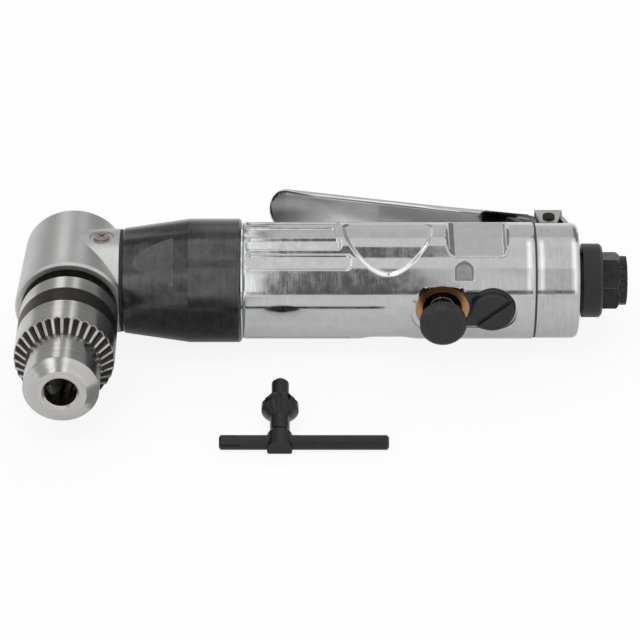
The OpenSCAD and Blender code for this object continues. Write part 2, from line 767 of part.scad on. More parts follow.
// Stamped bracket that carries the lever's hinge pin and is clamped behind the exhaust ring
module hinge_bracket() {
    half = ear_bracket[1];
    strap = 6;
    color("#bdbdbc") difference() {
        union() {
            translate([hinge_x - bracket_half, plate_top - bracket_t, -half])
                cube([2 * bracket_half, bracket_t, 2 * half]);
            for (side = [0, 1])
                mirror([0, 0, side]) translate([0, 0, ear_bracket[0]]) linear_extrude(bracket_t)
                    polygon([
                        [hinge_x - bracket_half, plate_top], [hinge_x + bracket_half, plate_top],
                        [hinge_x + 2.7, hinge_y - 3.4], [hinge_x - 2.7, hinge_y - 3.4]]);
            translate([0, 0, -strap]) linear_extrude(2 * strap)
                polygon([
                    [hinge_x + bracket_half - 1, plate_top], [hinge_x + bracket_half, plate_top],
                    [ring_x, cap_r + 1.4], [ring_x, 9], [tab_x, 9], [tab_x, cap_r + 0.9],
                    [hinge_x + bracket_half - 1, plate_top - bracket_t]]);
            on_body(tab_x) cylinder(r = ring_r - 0.6, h = bracket_t);
        }
        on_body(tab_x - 1) cylinder(r = 8.3, h = bracket_t + 2);
        translate([hinge_x, hinge_y, -20]) cylinder(r = pin_r + still_fit, h = 40);
        on_body(tab_x) exhaust_holes(bracket_t);
    }
}

// Pin through the bracket, the lever and the lug
module hinge_pin() {
    color("#4c4a48") translate([hinge_x, hinge_y, 0]) {
        translate([0, 0, -ear_bracket[1] - 0.6]) cylinder(r = pin_r, h = 2 * ear_bracket[1] + 0.7);
        translate([0, 0, ear_bracket[1]]) cylinder(r = pin_r + 0.6, h = 0.6);
    }
}

// Bronze bush that the reverse valve turns in
module reverse_bush() {
    color("#b0713f") on_chuck() translate([reverse_x, 0, -10]) difference() {
        cylinder(r = bush_r, h = valve_seat + 10);
        translate([0, 0, 1]) cylinder(r = valve_r + run_fit, h = valve_seat + 10);
        for (side = [-1, 1])
            translate([0, side * 4.5, 10]) rotate([0, -90, 0]) cylinder(r = 1.8, h = 12);
        translate([0, 0, 10 - port_y]) rotate([0, 90, 0]) cylinder(r = port_r, h = 12);
    }
}

// Black plate that links the valve bush and the regulator's seat
module link_plate() {
    plate_t = 0.8;
    color("#232324") on_chuck() translate([0, 0, valve_seat]) difference() {
        union() {
            translate([reverse_x, 0, 0]) cylinder(r = 6.9, h = plate_t);
            translate([regulator_x, 0, 0]) cylinder(r = 7.7, h = plate_t);
            translate([reverse_x, -6.25, 0]) cube([knob_pitch, 12.5, plate_t]);
        }
        translate([reverse_x, 0, -1]) cylinder(r = 4.1 + clear_gap, h = 3);
        translate([regulator_x, 0, -1]) cylinder(r = 4, h = 3);
    }
}

// Brass guide of the throttle stem
module throttle_guide() {
    color("#3b3836") translate([stem_x, 0, 0]) rotate([-90, 0, 0]) difference() {
        union() {
            translate([0, 0, 8]) cylinder(r = 4.5 - still_fit, h = 11.5);
            translate([0, 0, 19]) cylinder(r = 5.8 - still_fit, h = 2.2);
        }
        cylinder(r = stem_r + run_fit, h = 30);
    }
}

// Tube along a helix, as one unbroken solid
module coil(radius, wire, turns, height) {
    sides = 8;
    rings = turns * 12;
    points = [for (i = [0:rings]) for (k = [0:sides - 1])
        let (t = i * 30)
        let (r = radius + wire * cos(k * 360 / sides))
        [r * cos(t), r * sin(t), wire + (height - 2 * wire) * i / rings + wire * sin(k * 360 / sides)]];
    walls = [for (i = [0:rings - 1]) for (k = [0:sides - 1])
        let (next = (k + 1) % sides)
        each [
            [i * sides + k, i * sides + next, (i + 1) * sides + next],
            [i * sides + k, (i + 1) * sides + next, (i + 1) * sides + k]]];
    polyhedron(points, concat([[for (k = [sides - 1:-1:0]) k]], walls,
        [[for (k = [0:sides - 1]) rings * sides + k]]), convexity = 10);
}

// Spring that closes the throttle
module throttle_spring() {
    color("#9b9a98") translate([stem_x, spring_floor, 0]) rotate([-90, 0, 0])
        coil(3.4, 0.45, 5, poppet_top - poppet_t - spring_floor);
}

// Spindle from the closed end of the head to the thread in the chuck
module spindle() {
    journal = chuck_back - spindle_race_a;
    color("#8a8987") on_chuck() difference() {
        union() {
            translate([0, 0, -head_half + 2.3]) cylinder(r = 4, h = head_half + spindle_race_a - 2.3);
            translate([0, 0, -gear_back + 1]) cylinder(r = 4.6, h = gear_back + spindle_race_a - 1);
            translate([0, 0, spindle_race_a - 1.2]) cylinder(r = 8.2, h = 1.2);
            translate([0, 0, spindle_race_a]) cylinder(r = spindle_race[0] - still_fit, h = journal);
            translate([0, 0, spindle_race_a + spindle_race[2]])
                cylinder(r = 9, h = journal - spindle_race[2]);
            translate([0, 0, chuck_back - eps]) cylinder(r = thread_r, h = thread_len);
        }
        translate([0, 0, chuck_back + thread_len - 9]) cylinder(r = 2.5, h = 10);
    }
}

// Inner ring of the spindle's ball bearing
module spindle_inner_ring() {
    color("#84827f") on_chuck() translate([0, 0, spindle_race_a]) bearing_inner(spindle_race);
}

// Driven bevel gear on the spindle
module bevel_gear() {
    color("#77746f") rotate([-90, 0, 0]) difference() {
        union() {
            bevel_blank(bevel_teeth, bevel_angle);
            translate([0, 0, gear_back - 0.1]) cylinder(r = 9, h = 1.4);
        }
        cylinder(r = 4.6 + still_fit, h = gear_back - 1 + 0.02);
        cylinder(r = 4 + still_fit, h = 30);
    }
}

// Sloping hole or shaft of one jaw, along the line that the jaw slides on
module jaw_line(index, radius, from, to) {
    rotate([0, 0, 100 + index * 120]) translate([0, 0, nose_end + 2]) rotate([0, -jaw_slope, 0])
        translate([0, 0, -to]) cylinder(r = radius, h = to - from, $fn = 64);
}

// Chuck body: back rim, core under the sleeve, nose with the jaw bore and the key holes
module chuck_body() {
    screw_from = chuck_back + screw_floor;
    color("#a5a4a3") on_chuck() difference() {
        rotate_extrude() polygon([
            [0, chuck_back], [chuck_r - 0.5, chuck_back], [chuck_r - 0.1, chuck_back + 0.4],
            [chuck_r - 0.1, chuck_back + chuck_rim], [core_r - run_fit, chuck_back + chuck_rim],
            [core_r - run_fit, core_end], [nose_r - run_fit, core_end + 1],
            [nose_r - run_fit, nut_from], [nut_floor_r, nut_from], [nut_floor_r, nut_to],
            [nose_r - run_fit, nut_to], [nose_r - run_fit, sleeve_front],
            [nose_r, sleeve_front + 0.2], [nose_r, nose_end - nose_cone_len],
            [nose_face_r, nose_end], [0, nose_end]]);
        translate([0, 0, guide_back - 1]) cylinder(r = bore_r, h = bore_guide + 10);
        translate([0, 0, nose_end - bore_depth])
            cylinder(r = room_r, h = guide_back - nose_end + bore_depth);
        translate([0, 0, screw_from]) cylinder(r = 4.4, h = 4);
        translate([0, 0, mouth_a]) cylinder(r1 = bore_r, r2 = bore_r + mouth_chamfer + 0.1,
            h = mouth_chamfer + 0.1);
        translate([0, 0, chuck_back - 1]) cylinder(r = thread_r + still_fit, h = thread_len + 1.2);
        cylinder(r = 2.6, h = nose_end - 20);
        for (i = [0:2]) {
            jaw_line(i, jaw_r + run_fit, 3, 60);
            rotate([0, 0, 40 + i * 120]) translate([0, 0, key_hole_a]) rotate([0, 90, 0])
                translate([0, 0, 8.6]) cylinder(r = key_hole_r, h = 10);
        }
    }
}

// Left-hand screw that locks the chuck on the spindle
module chuck_screw() {
    color("#4c4a48") on_chuck() difference() {
        translate([0, 0, chuck_back + screw_floor + 0.02]) union() {
            translate([0, 0, -10]) cylinder(r = 2.5 - still_fit, h = 10.5);
            cylinder(r = 4.2, h = 2.2);
        }
        for (turn = [0, 90])
            rotate([0, 0, turn]) translate([-2.4, -0.4, chuck_back + screw_floor + 1.3])
                cube([4.8, 0.8, 5]);
    }
}

// Turning sleeve with its ring of bevel teeth
module chuck_sleeve() {
    tooth_from = sleeve_front - cone_len;
    foot_r = nose_r + 0.3;
    slope = atan((chuck_r - foot_r) / cone_len);
    color("#8b8785") on_chuck() difference() {
        rotate_extrude() polygon([
            [core_r + run_fit - 0.05, sleeve_back], [chuck_r, sleeve_back],
            [chuck_r, tooth_from], [foot_r, sleeve_front], [nose_r + run_fit, sleeve_front],
            [nose_r + run_fit, nut_to], [nut_r, nut_to], [nut_r, nut_from],
            [core_r + run_fit - 0.05, nut_from]]);
        for (i = [0:sleeve_teeth - 1])
            rotate([0, 0, (i + 0.5) * 360 / sleeve_teeth]) translate([foot_r, 0, sleeve_front])
                rotate([0, -slope, 0]) translate([0, 0, -10]) linear_extrude(14)
                    polygon([[1.5, -1.45], [1.5, 1.45], [-0.85, 0.28], [-0.85, -0.28]]);
    }
}

// Nut ring that drives the jaws, fixed in the sleeve
module chuck_nut() {
    height = nut_len - 0.1;
    color("#5f5c59") on_chuck() translate([0, 0, nut_from + 0.05]) difference() {
        cylinder(r = nut_r - still_fit, h = height);
        translate([0, 0, -eps]) cylinder(r1 = nut_bore_back, r2 = nut_bore_front, h = height + 2 * eps);
    }
}

// One hardened jaw, drawn back so that its tip leaves the bore free
module jaw(index) {
    reach = jaw_travel * cos(jaw_slope);
    open = jaw_travel * sin(jaw_slope);
    tip = nose_end - 0.5 - reach;
    pitch = 1.6;
    color("#6b6967") on_chuck() rotate([0, 0, 100 + index * 120]) difference() {
        intersection() {
            rotate([0, 0, -100 - index * 120]) jaw_line(index, jaw_r, 0, 70);
            translate([open + 0.12, 0, tip - jaw_len]) linear_extrude(jaw_len)
                polygon([[0, 0], [20, -20 * tan(60)], [60, 0], [20, 20 * tan(60)]]);
            translate([0, 0, tip - jaw_len])
                rotate_extrude() polygon([[0, 0], [chuck_r - 0.6, 0], [chuck_r - 0.6, jaw_len - 2],
                    [open + 2.2, jaw_len], [0, jaw_len]]);
        }
        translate([0, 0, nose_end + 2]) rotate([0, -jaw_slope, 0])
            for (i = [0:9])
                translate([jaw_r - 0.5, -5, -(nose_end + 2 - tip) / cos(jaw_slope) - 5 - i * pitch])
                    cube([4, 10, pitch * 0.45]);
    }
}

module jaw_1() {
    jaw(0);
}

module jaw_2() {
    jaw(1);
}

module jaw_3() {
    jaw(2);
}

// Carrier plate of the planet gears with the journal that turns the bevel pinion
module planet_carrier() {
    color("#77746f") on_body(carrier_x) difference() {
        union() {
            cylinder(r = 13, h = carrier_t);
            translate([0, 0, -0.6]) cylinder(r = 6.4, h = 1);
        }
        translate([0, 0, -2]) cylinder(r = 3.2, h = carrier_t + 1);
        for (i = [0:2])
            rotate([0, 0, 90 + i * 120]) translate([planet_orbit, 0, -1])
                cylinder(r = 1.5 + still_fit, h = carrier_t + 2);
    }
}

// Bevel pinion with its journal, pressed into the planet carrier
module bevel_pinion() {
    color("#77746f") on_body() {
        rotate([0, 0, 180 / pinion_teeth]) bevel_blank(pinion_teeth, 90 - bevel_angle);
        translate([0, 0, pinion_back - 0.2]) cylinder(r = 6, h = pinion_race_x - pinion_back + 0.2);
        translate([0, 0, pinion_race_x - eps]) cylinder(r = pinion_race[0] - still_fit,
            h = carrier_x - 0.6 - pinion_race_x);
        translate([0, 0, carrier_x - 1]) cylinder(r = 3.2 - still_fit, h = carrier_t - 0.7);
    }
}

// Pins that the planet gears turn on
module planet_pins() {
    color("#8f8d8a") on_body(carrier_x + 0.3)
        for (i = [0:2])
            rotate([0, 0, 90 + i * 120]) translate([planet_orbit, 0, 0]) {
                cylinder(r = 1.5, h = carrier_t + planet_w + 0.8);
                translate([0, 0, carrier_t + planet_w + 0.3]) cylinder(r = 2.3, h = 0.7);
            }
}

// One planet gear in mesh with the sun and the ring gear
module planet_gear(index) {
    pitch_r = planet_teeth * planet_module / 2;
    color("#8a8681") on_body(planet_x) rotate([0, 0, 90 + index * 120])
        translate([planet_orbit, 0, 0]) difference() {
            linear_extrude(planet_w) rotate(180 / planet_teeth)
                polygon(gear_outline(planet_teeth, planet_module, pitch_r + planet_module,
                    pitch_r - 1.25 * planet_module, 0.35));
            translate([0, 0, -1]) cylinder(r = 1.5 + run_fit, h = planet_w + 2);
        }
}

module planet_gear_1() {
    planet_gear(0);
}

module planet_gear_2() {
    planet_gear(1);
}

module planet_gear_3() {
    planet_gear(2);
}

// Rotor with its shaft and the slots of its vanes
module rotor() {
    body_from = liner_x + 0.15;
    body_h = liner_len - 0.3;
    color("#6f6d6a") on_body() difference() {
        union() {
            translate([0, 0, body_from]) cylinder(r = rotor_r, h = body_h);
            translate([0, 0, planet_x + planet_w + 1.6])
                cylinder(r = rotor_race[0] - still_fit, h = motor_end - planet_x - planet_w - 2);
            translate([0, 0, planet_x]) cylinder(r = 2, h = 20);
        }
        for (i = [0:vane_count - 1])
            rotate([0, 0, i * 360 / vane_count + 18]) translate([rotor_r - 4.6, -vane_t / 2 - run_fit,
                body_from - 1]) cube([6, vane_t + 2 * run_fit, body_h + 2]);
    }
}

// Sun gear on the end of the rotor shaft
module sun_gear() {
    pitch_r = sun_teeth * planet_module / 2;
    color("#8a8681") on_body(planet_x + 0.2) difference() {
        linear_extrude(planet_w + 1)
            polygon(gear_outline(sun_teeth, planet_module, pitch_r + planet_module,
                pitch_r - 1.25 * planet_module, 0.35));
        translate([0, 0, -1]) cylinder(r = 2 + still_fit, h = planet_w + 4);
    }
}

// Vanes resting at the bottom of their slots
module vanes() {
    color("#5b3f2c") on_body(liner_x + 0.25)
        for (i = [0:vane_count - 1])
            rotate([0, 0, i * 360 / vane_count + 18]) translate([rotor_r - 4.5, -vane_t / 2, 0])
                cube([4.4, vane_t, liner_len - 0.5]);
}

// Plan of the lever over the body, seen along the chuck axis
module lever_plan(inset = 0) {
    tip_x = hinge_x - lever_len;
    full_x = tip_x + 6.3;
    half = lever_half_w - inset;
    polygon(concat(
        [for (i = [0:8]) [full_x - (6.3 - inset) * cos(i * 11.25), half * sin(i * 11.25)]],
        [[hinge_x - 30, half - 0.6], [hinge_x - 22, half - 1.1],
            [hinge_x - 9, ear_lever[1] - inset], [hinge_x - 6.5, ear_lever[1] - inset],
            [hinge_x - 6.5, -ear_lever[1] + inset], [hinge_x - 9, -ear_lever[1] + inset],
            [hinge_x - 22, -half + 1.1], [hinge_x - 30, -half + 0.6]],
        [for (i = [8:-1:1]) [full_x - (6.3 - inset) * cos(i * 11.25), -half * sin(i * 11.25)]]));
}

// Side view of the lever's sheet, with a given depth below its top line
module lever_side(depth, last) {
    top = [
        [hinge_x - lever_len, lever_flat + lever_rise],
        [hinge_x - lever_len + 6.3, lever_flat + lever_rise - 1],
        [hinge_x - 46.2, lever_flat + 3.4],
        [hinge_x - 38, lever_flat + 1.35],
        [hinge_x - 30.7, lever_flat + 0.2],
        [last, lever_flat]];
    polygon(concat(top, [for (i = [5:-1:0]) top[i] - [0, depth]]));
}

// Pressed steel throttle lever: a shallow channel with two ears on the hinge pin
module lever() {
    lip_end = hinge_x - 22.6;
    color("#b4b4b3") difference() {
        union() {
            intersection() {
                translate([0, 60, 0]) rotate([90, 0, 0]) linear_extrude(60) lever_plan();
                translate([0, 0, -12]) linear_extrude(24) lever_side(lever_t, hinge_x - 6.5);
            }
            intersection() {
                translate([0, 60, 0]) rotate([90, 0, 0]) linear_extrude(60) difference() {
                    lever_plan();
                    lever_plan(lever_t);
                }
                translate([0, 0, -12]) linear_extrude(24) lever_side(lip_depth, lip_end);
            }
            for (side = [0, 1])
                mirror([0, 0, side]) translate([0, 0, ear_lever[0]])
                    linear_extrude(ear_lever[1] - ear_lever[0]) {
                        polygon([
                            [hinge_x - 13, lever_flat - lever_t / 2], [hinge_x - 6.5, lever_flat - lever_t / 2],
                            [hinge_x - 5.4, hinge_y + 2.6], [hinge_x, hinge_y + 2.95],
                            [hinge_x, hinge_y - 2.95], [hinge_x - 2, hinge_y - 2.9],
                            [hinge_x - 11, hinge_y - 0.4]]);
                        translate([hinge_x, hinge_y]) circle(r = 2.95);
                    }
        }
        translate([hinge_x, hinge_y, -20]) cylinder(r = pin_r + run_fit, h = 40);
    }
}

// Throttle stem with its valve head
module throttle_stem() {
    color("#8f8e8c") translate([stem_x, 0, 0]) rotate([-90, 0, 0]) {
        translate([0, 0, poppet_top - poppet_t]) cylinder(r = 4.6, h = poppet_t);
        translate([0, 0, poppet_top - eps]) cylinder(r = stem_r, h = stem_top - poppet_top - 0.8);
        translate([0, 0, stem_top - 0.8 - 2 * eps]) cylinder(r1 = stem_r, r2 = stem_r - 0.7, h = 0.8);
    }
}

// Knurled knob that turns the reverse valve
module reverse_knob() {
    ribs = 48;
    color("#2a2a2b") on_chuck() translate([reverse_x, 0, knob_face - knob_t]) difference() {
        union() {
            cylinder(r = knob_r, h = knob_t - 0.7);
            translate([0, 0, knob_t - 0.7 - eps]) cylinder(r1 = knob_r - 0.25, r2 = knob_r - 0.9, h = 0.7);
        }
        translate([0, 0, -eps]) cylinder(r = 2.5 + still_fit, h = knob_t - 1);
        for (i = [0:ribs - 1])
            rotate([0, 0, i * 360 / ribs]) translate([knob_r, 0, -1]) rotate([0, 0, 45])
                cube([0.42, 0.42, 20], center = true);
    }
}

// Turning valve and the stem that carries the knob
module reverse_valve() {
    shoulder = knob_face - knob_t;
    color("#6a5a4c") on_chuck() translate([reverse_x, 0, 0]) difference() {
        union() {
            translate([0, 0, -8.6]) cylinder(r = valve_r, h = valve_seat + 8);
            translate([0, 0, 10]) cylinder(r = 4.1, h = shoulder - 10);
            translate([0, 0, shoulder - eps]) cylinder(r = 2.5, h = knob_t - 1.1);
        }
        for (side = [-1, 1])
            translate([0, side * 4.5, 0]) rotate([0, -90, 0]) cylinder(r = 1.8, h = 12);
        translate([0, 0, -port_y]) rotate([0, 90, 0]) cylinder(r = port_r, h = 12);
    }
}

// Slotted air regulator
module regulator() {
    seat = valve_seat + 0.8 + run_fit;
    head_t = 2.05;
    color("#262627") on_chuck() translate([regulator_x, 0, 0]) difference() {
        union() {
            translate([0, 0, seat]) cylinder(r = disc_r, h = head_t - 0.5);
            translate([0, 0, seat + head_t - 0.5 - eps])
                cylinder(r1 = disc_r, r2 = disc_r - 0.5, h = 0.5);
            translate([0, 0, 10]) cylinder(r = 4 - run_fit, h = seat - 10 + eps);
        }
        rotate([0, 0, 40]) translate([-disc_r - 1, -0.9, seat + head_t - 1.1])
            cube([2 * disc_r + 2, 1.8, 3]);
    }
}

// Local z becomes the key's shank, from the bar towards the pilot
module on_key() {
    translate([shank_x, -bar_front, floor_z + bar_r]) rotate([key_tilt, 0, 0]) rotate([-90, 0, 0])
        children();
}

// Key shank with its toothed head and pilot
module key_body() {
    head_from = 12.2;
    teeth = 12;
    face = key_reach - head_from;
    color("#1f1f20") on_key() difference() {
        union() {
            translate([0, 0, -3.4]) cylinder(r = shank_r + 0.9, h = 6.2);
            translate([0, 0, 2.8 - eps]) cylinder(r1 = shank_r + 0.9, r2 = shank_r, h = 1.6);
            cylinder(r = shank_r, h = key_reach);
            translate([0, 0, head_from - 1.6]) cylinder(r1 = shank_r, r2 = pinion_r - 1.4, h = 1.6 + eps);
            translate([0, 0, head_from]) difference() {
                rotate_extrude() polygon([
                    [0, 0], [pinion_r - 1.4, 0], [pinion_r, 1.6], [pinion_r, face - 1],
                    [pinion_r - 2.1, face + 2.2], [0, face + 2.2]]);
                for (i = [0:teeth - 1])
                    rotate([0, 0, i * 360 / teeth]) translate([pinion_r, 0, face - 1])
                        rotate([0, -33, 0]) translate([0, 0, -3.4]) linear_extrude(9)
                            polygon([[1.5, -1.5], [1.5, 1.5], [-1.25, 0.3], [-1.25, -0.3]]);
            }
            translate([0, 0, head_from]) cylinder(r = pilot_r, h = 13.4);
            translate([0, 0, head_from + 13.4 - eps]) cylinder(r1 = pilot_r, r2 = pilot_r - 1, h = 1.2);
        }
        rotate([0, 90, 0]) translate([0, 0, -10]) cylinder(r = bar_r + still_fit, h = 20);
    }
}

// Cross bar of the key
module key_bar() {
    color("#1f1f20") translate([bar_x - bar_len / 2, -bar_front, floor_z + bar_r]) rotate([0, 90, 0]) {
        translate([0, 0, 0.6]) cylinder(r = bar_r, h = bar_len - 1.2);
        cylinder(r1 = bar_r - 0.6, r2 = bar_r, h = 0.6 + eps);
        translate([0, 0, bar_len - 0.6 - eps]) cylinder(r1 = bar_r, r2 = bar_r - 0.6, h = 0.6 + eps);
    }
}

in_frame() angle_head();
in_frame() head_screw();
in_frame() lock_screw();
in_frame() circlip();
in_frame() spindle_bush();
in_frame() spindle_bearing();
in_frame() neck_seal();
in_frame() pinion_bearing();
in_frame() collar();
in_frame() ring_gear();
in_frame() housing();
in_frame() front_end_plate();
in_frame() cylinder_liner();
in_frame() rear_end_plate();
in_frame() front_rotor_bearing();
in_frame() rear_rotor_bearing();
in_frame() cap_gasket();
in_frame() rear_cap();
in_frame() exhaust_ring();
in_frame() inlet_bushing();
in_frame() inlet_ring();
in_frame() inlet_screen();
in_frame() hinge_bracket();
in_frame() hinge_pin();
in_frame() reverse_bush();
in_frame() link_plate();
in_frame() throttle_guide();
in_frame() throttle_spring();
in_frame() spindle();
in_frame() spindle_inner_ring();
in_frame() bevel_gear();
in_frame() chuck_body();
in_frame() chuck_screw();
in_frame() chuck_sleeve();
in_frame() chuck_nut();
in_frame() jaw_1();
in_frame() jaw_2();
in_frame() jaw_3();
in_frame() planet_carrier();
in_frame() bevel_pinion();
in_frame() planet_pins();
in_frame() planet_gear_1();
in_frame() planet_gear_2();
in_frame() planet_gear_3();
in_frame() rotor();
in_frame() sun_gear();
in_frame() vanes();
in_frame() lever();
in_frame() throttle_stem();
in_frame() reverse_knob();
in_frame() reverse_valve();
in_frame() regulator();
in_frame() key_body();
in_frame() key_bar();
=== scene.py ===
"""Looks of a right-angle air drill with a keyed chuck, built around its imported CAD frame.

Lengths are millimetres in the shared frame, except the studio's cards and lamps, which are in metres.
The chuck axis is x = z = 0 and points to -Y, and the body axis runs along +X at y = AXIS_Y.
Points are turned into metres when a mesh is made of them.
"""

import logging
import math
from abc import ABC, abstractmethod
from dataclasses import dataclass
from enum import Enum

import bmesh
import bpy
import numpy as np
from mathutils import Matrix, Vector


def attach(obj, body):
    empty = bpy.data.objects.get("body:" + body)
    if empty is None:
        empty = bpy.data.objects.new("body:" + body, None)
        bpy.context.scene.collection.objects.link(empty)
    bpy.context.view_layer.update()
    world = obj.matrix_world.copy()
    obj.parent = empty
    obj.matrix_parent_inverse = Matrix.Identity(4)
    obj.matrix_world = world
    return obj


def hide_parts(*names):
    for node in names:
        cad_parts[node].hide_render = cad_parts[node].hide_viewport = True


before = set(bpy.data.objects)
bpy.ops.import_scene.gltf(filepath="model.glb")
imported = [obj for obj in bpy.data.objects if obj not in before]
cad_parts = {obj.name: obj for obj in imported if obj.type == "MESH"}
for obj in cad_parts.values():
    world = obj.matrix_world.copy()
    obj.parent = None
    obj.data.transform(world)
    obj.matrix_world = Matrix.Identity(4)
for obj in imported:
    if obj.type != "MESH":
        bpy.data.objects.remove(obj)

LOG = logging.getLogger("air_drill")
MM = 0.001
AXIS_Y = 66.3
FLOOR_Z = -20.7
KNOB_X = 123.2
DISC_X = 139.7
VALVE_SEAT = 17.5
FAR = 99.0  # a radius past every limit
WHITE = (1.0, 1.0, 1.0, 1.0)
NOISE_SPAN = (0.3, 0.7)  # what a noise pattern mostly keeps within
EDGE_LEAN = (0.99, 0.82)  # the cosines of the lean where an edge begins, and is full
FACING = 0.3  # the least cosine of the turn from a recess's middle, so that it stays on its side
Array = np.ndarray
Material = bpy.types.Material
Object = bpy.types.Object
Socket = bpy.types.NodeSocket
Colour = tuple[float, float, float]
Pair = tuple[float, float]
Point = tuple[float, float, float]
Card = tuple[str, float, float, float, float, float, float]


class Axis(Enum):
    """The axes that pieces were turned about: the direction and one point of each."""

    CHUCK = ("Y", (0.0, 0.0, 0.0))
    BODY = ("X", (0.0, AXIS_Y, 0.0))
    KNOB = ("Y", (KNOB_X, 0.0, 0.0))
    DISC = ("Y", (DISC_X, 0.0, 0.0))
    KEY = ("Y", (69.8, 0.0, -18.3))


def grey(level: float) -> Colour:
    """Returns a grey."""
    return (level, level, level)


class Tree:
    """Builds one node tree in few words."""

    def __init__(self, name: str, world: bpy.types.World | None = None) -> None:
        """Takes the emptied node tree of a new material, or of the world if one is given."""
        self.owner = world or bpy.data.materials.new(name)
        self.owner.use_nodes = True
        self.tree = self.owner.node_tree
        self.tree.nodes.clear()
        self.output = self.node("ShaderNodeOutputWorld" if world else "ShaderNodeOutputMaterial")

    def node(self, kind: str, inputs: dict | None = None, **settings: object) -> bpy.types.Node:
        """Adds a node.

        Args:
            kind: the node's type.
            inputs: socket name or number to a value, or to the socket that feeds it.
            settings: the node's own settings.

        Returns:
            The new node.
        """
        made = self.tree.nodes.new(kind)
        for key, value in settings.items():
            setattr(made, key, value)
        for key, value in (inputs or {}).items():
            if isinstance(value, Socket):
                self.tree.links.new(value, made.inputs[key])
            else:
                made.inputs[key].default_value = value
        return made

    def math(self, operation: str, a: Socket | float, b: Socket | float = 0.0) -> Socket:
        """Returns the result of one Math node."""
        return self.node("ShaderNodeMath", {0: a, 1: b}, operation=operation).outputs[0]

    def times(self, a: Socket, b: Socket | float) -> Socket:
        """Returns the product."""
        return self.math("MULTIPLY", a, b)

    def noise(
        self, vector: Socket, scale: float, detail: float = 3.0, rough: float = 0.5
    ) -> Socket:
        """Returns the grey value of a noise pattern, with its scale in cycles per metre."""
        sockets = {"Vector": vector, "Scale": scale, "Detail": detail, "Roughness": rough}
        return self.node("ShaderNodeTexNoise", sockets).outputs["Fac"]

    def stretched(self, vector: Socket, scale: Point) -> Socket:
        """Returns coordinates that are scaled in each direction."""
        return self.node("ShaderNodeMapping", {"Vector": vector, "Scale": scale}).outputs[0]

    def between(
        self, value: Socket, low: float, high: float, to_low: float = 0.0, to_high: float = 1.0
    ) -> Socket:
        """Returns value carried from the range low..high to to_low..to_high, and held there."""
        sockets = {"Value": value, "From Min": low, "From Max": high, "To Min": to_low,
                   "To Max": to_high}
        return self.node("ShaderNodeMapRange", sockets, clamp=True).outputs["Result"]

    def blend(self, share: Socket, first: Socket | Colour, second: Socket | Colour) -> Socket:
        """Returns first where share is 0, second where it is 1, and a mix between."""
        made = self.node("ShaderNodeMix", data_type="RGBA")
        for number, value in ((0, share), (6, first), (7, second)):
            if isinstance(value, Socket):
                self.tree.links.new(value, made.inputs[number])
            else:
                made.inputs[number].default_value = (*value, 1.0)
        return made.outputs[2]

    def mottle(
        self, noise: Socket, span: Pair, tint: Colour, darker: float, paler: float
    ) -> Socket:
        """Returns the tint, times darker where the noise is under span, times paler where over it."""
        dark, pale = (tuple(c * share for c in tint) for share in (darker, paler))
        return self.blend(self.between(noise, *span), dark, pale)

    def vary(self, noise: Socket, level: float, first: float, last: float) -> Socket:
        """Returns the level, times first where the noise is low and times last where it is high."""
        return self.between(noise, *NOISE_SPAN, level * first, level * last)

    def place(self) -> Socket:
        """Returns the object coordinates, in metres."""
        return self.node("ShaderNodeTexCoord").outputs["Object"]

    def place_parts(self) -> bpy.types.NodeOutputs:
        """Returns x, y and z of the object coordinates."""
        return self.node("ShaderNodeSeparateXYZ", {0: self.place()}).outputs

    def round_axis(self, axis: Axis) -> tuple[Socket, Socket, Socket, Socket]:
        """Returns the place along the axis, the radius and both parts of the outward direction."""
        letter, centre = axis.value
        back = {0: self.place(), 1: tuple(-c * MM for c in centre)}
        shifted = self.node("ShaderNodeVectorMath", back, operation="ADD").outputs[0]
        x, y, z = self.node("ShaderNodeSeparateXYZ", {0: shifted}).outputs
        along, u, v = (x, y, z) if letter == "X" else (y, x, z)
        squares = self.math("ADD", self.times(u, u), self.times(v, v))
        radius = self.math("SQRT", squares)
        safe = self.math("MAXIMUM", radius, 0.00001)
        return along, radius, self.math("DIVIDE", u, safe), self.math("DIVIDE", v, safe)

    def turning(self, axis: Axis, marks: float, broken: float) -> Socket:
        """Marks that a lathe or a belt leaves: fine across, long round the axis.

        Args:
            axis: the axis that they run round.
            marks: how many there are in a millimetre.
            broken: how often they break off in a turn.

        Returns:
            The grey value of the marks.
        """
        along, radius, u, v = self.round_axis(axis)
        sockets = {
            0: self.times(along, marks / MM),
            1: self.times(radius, marks / MM),
            2: self.times(u, broken),
        }
        across = self.node("ShaderNodeCombineXYZ", sockets).outputs[0]
        fourth = self.times(v, broken)
        sockets = {"Vector": across, "W": fourth, "Scale": 1.0, "Detail": 3.0}
        return self.node("ShaderNodeTexNoise", sockets, noise_dimensions="4D").outputs["Fac"]

    def edges(self, reach: float) -> Socket:
        """Returns 1 on edges and 0 on faces, from how far a rounded normal leans from the true."""
        rounded = self.node("ShaderNodeBevel", {"Radius": reach * MM}, samples=4).outputs[0]
        flat = self.node("ShaderNodeNewGeometry").outputs["Normal"]
        lean = self.node("ShaderNodeVectorMath", {0: rounded, 1: flat}, operation="DOT_PRODUCT")
        return self.between(lean.outputs["Value"], *EDGE_LEAN)

    def shade(self, name: str = "shade") -> Socket:
        """Returns one of the piece's own attributes: 0 on plain surface, 1 where it shows in full."""
        return self.node("ShaderNodeAttribute", attribute_name=name).outputs["Fac"]

    def seen(self) -> Socket:
        """Returns 1 for rays of the camera, of gloss and through glass, 0 for light on the drill."""
        path = self.node("ShaderNodeLightPath").outputs
        either = self.math("MAXIMUM", path["Is Camera Ray"], path["Is Glossy Ray"])
        return self.math("MAXIMUM", either, path["Is Transmission Ray"])

    def glow(self, kind: str, level: Socket | float) -> Socket:
        """Returns a white shader of the given kind, Emission or Background."""
        return self.node(f"ShaderNode{kind}", {"Color": WHITE, "Strength": level}).outputs[0]

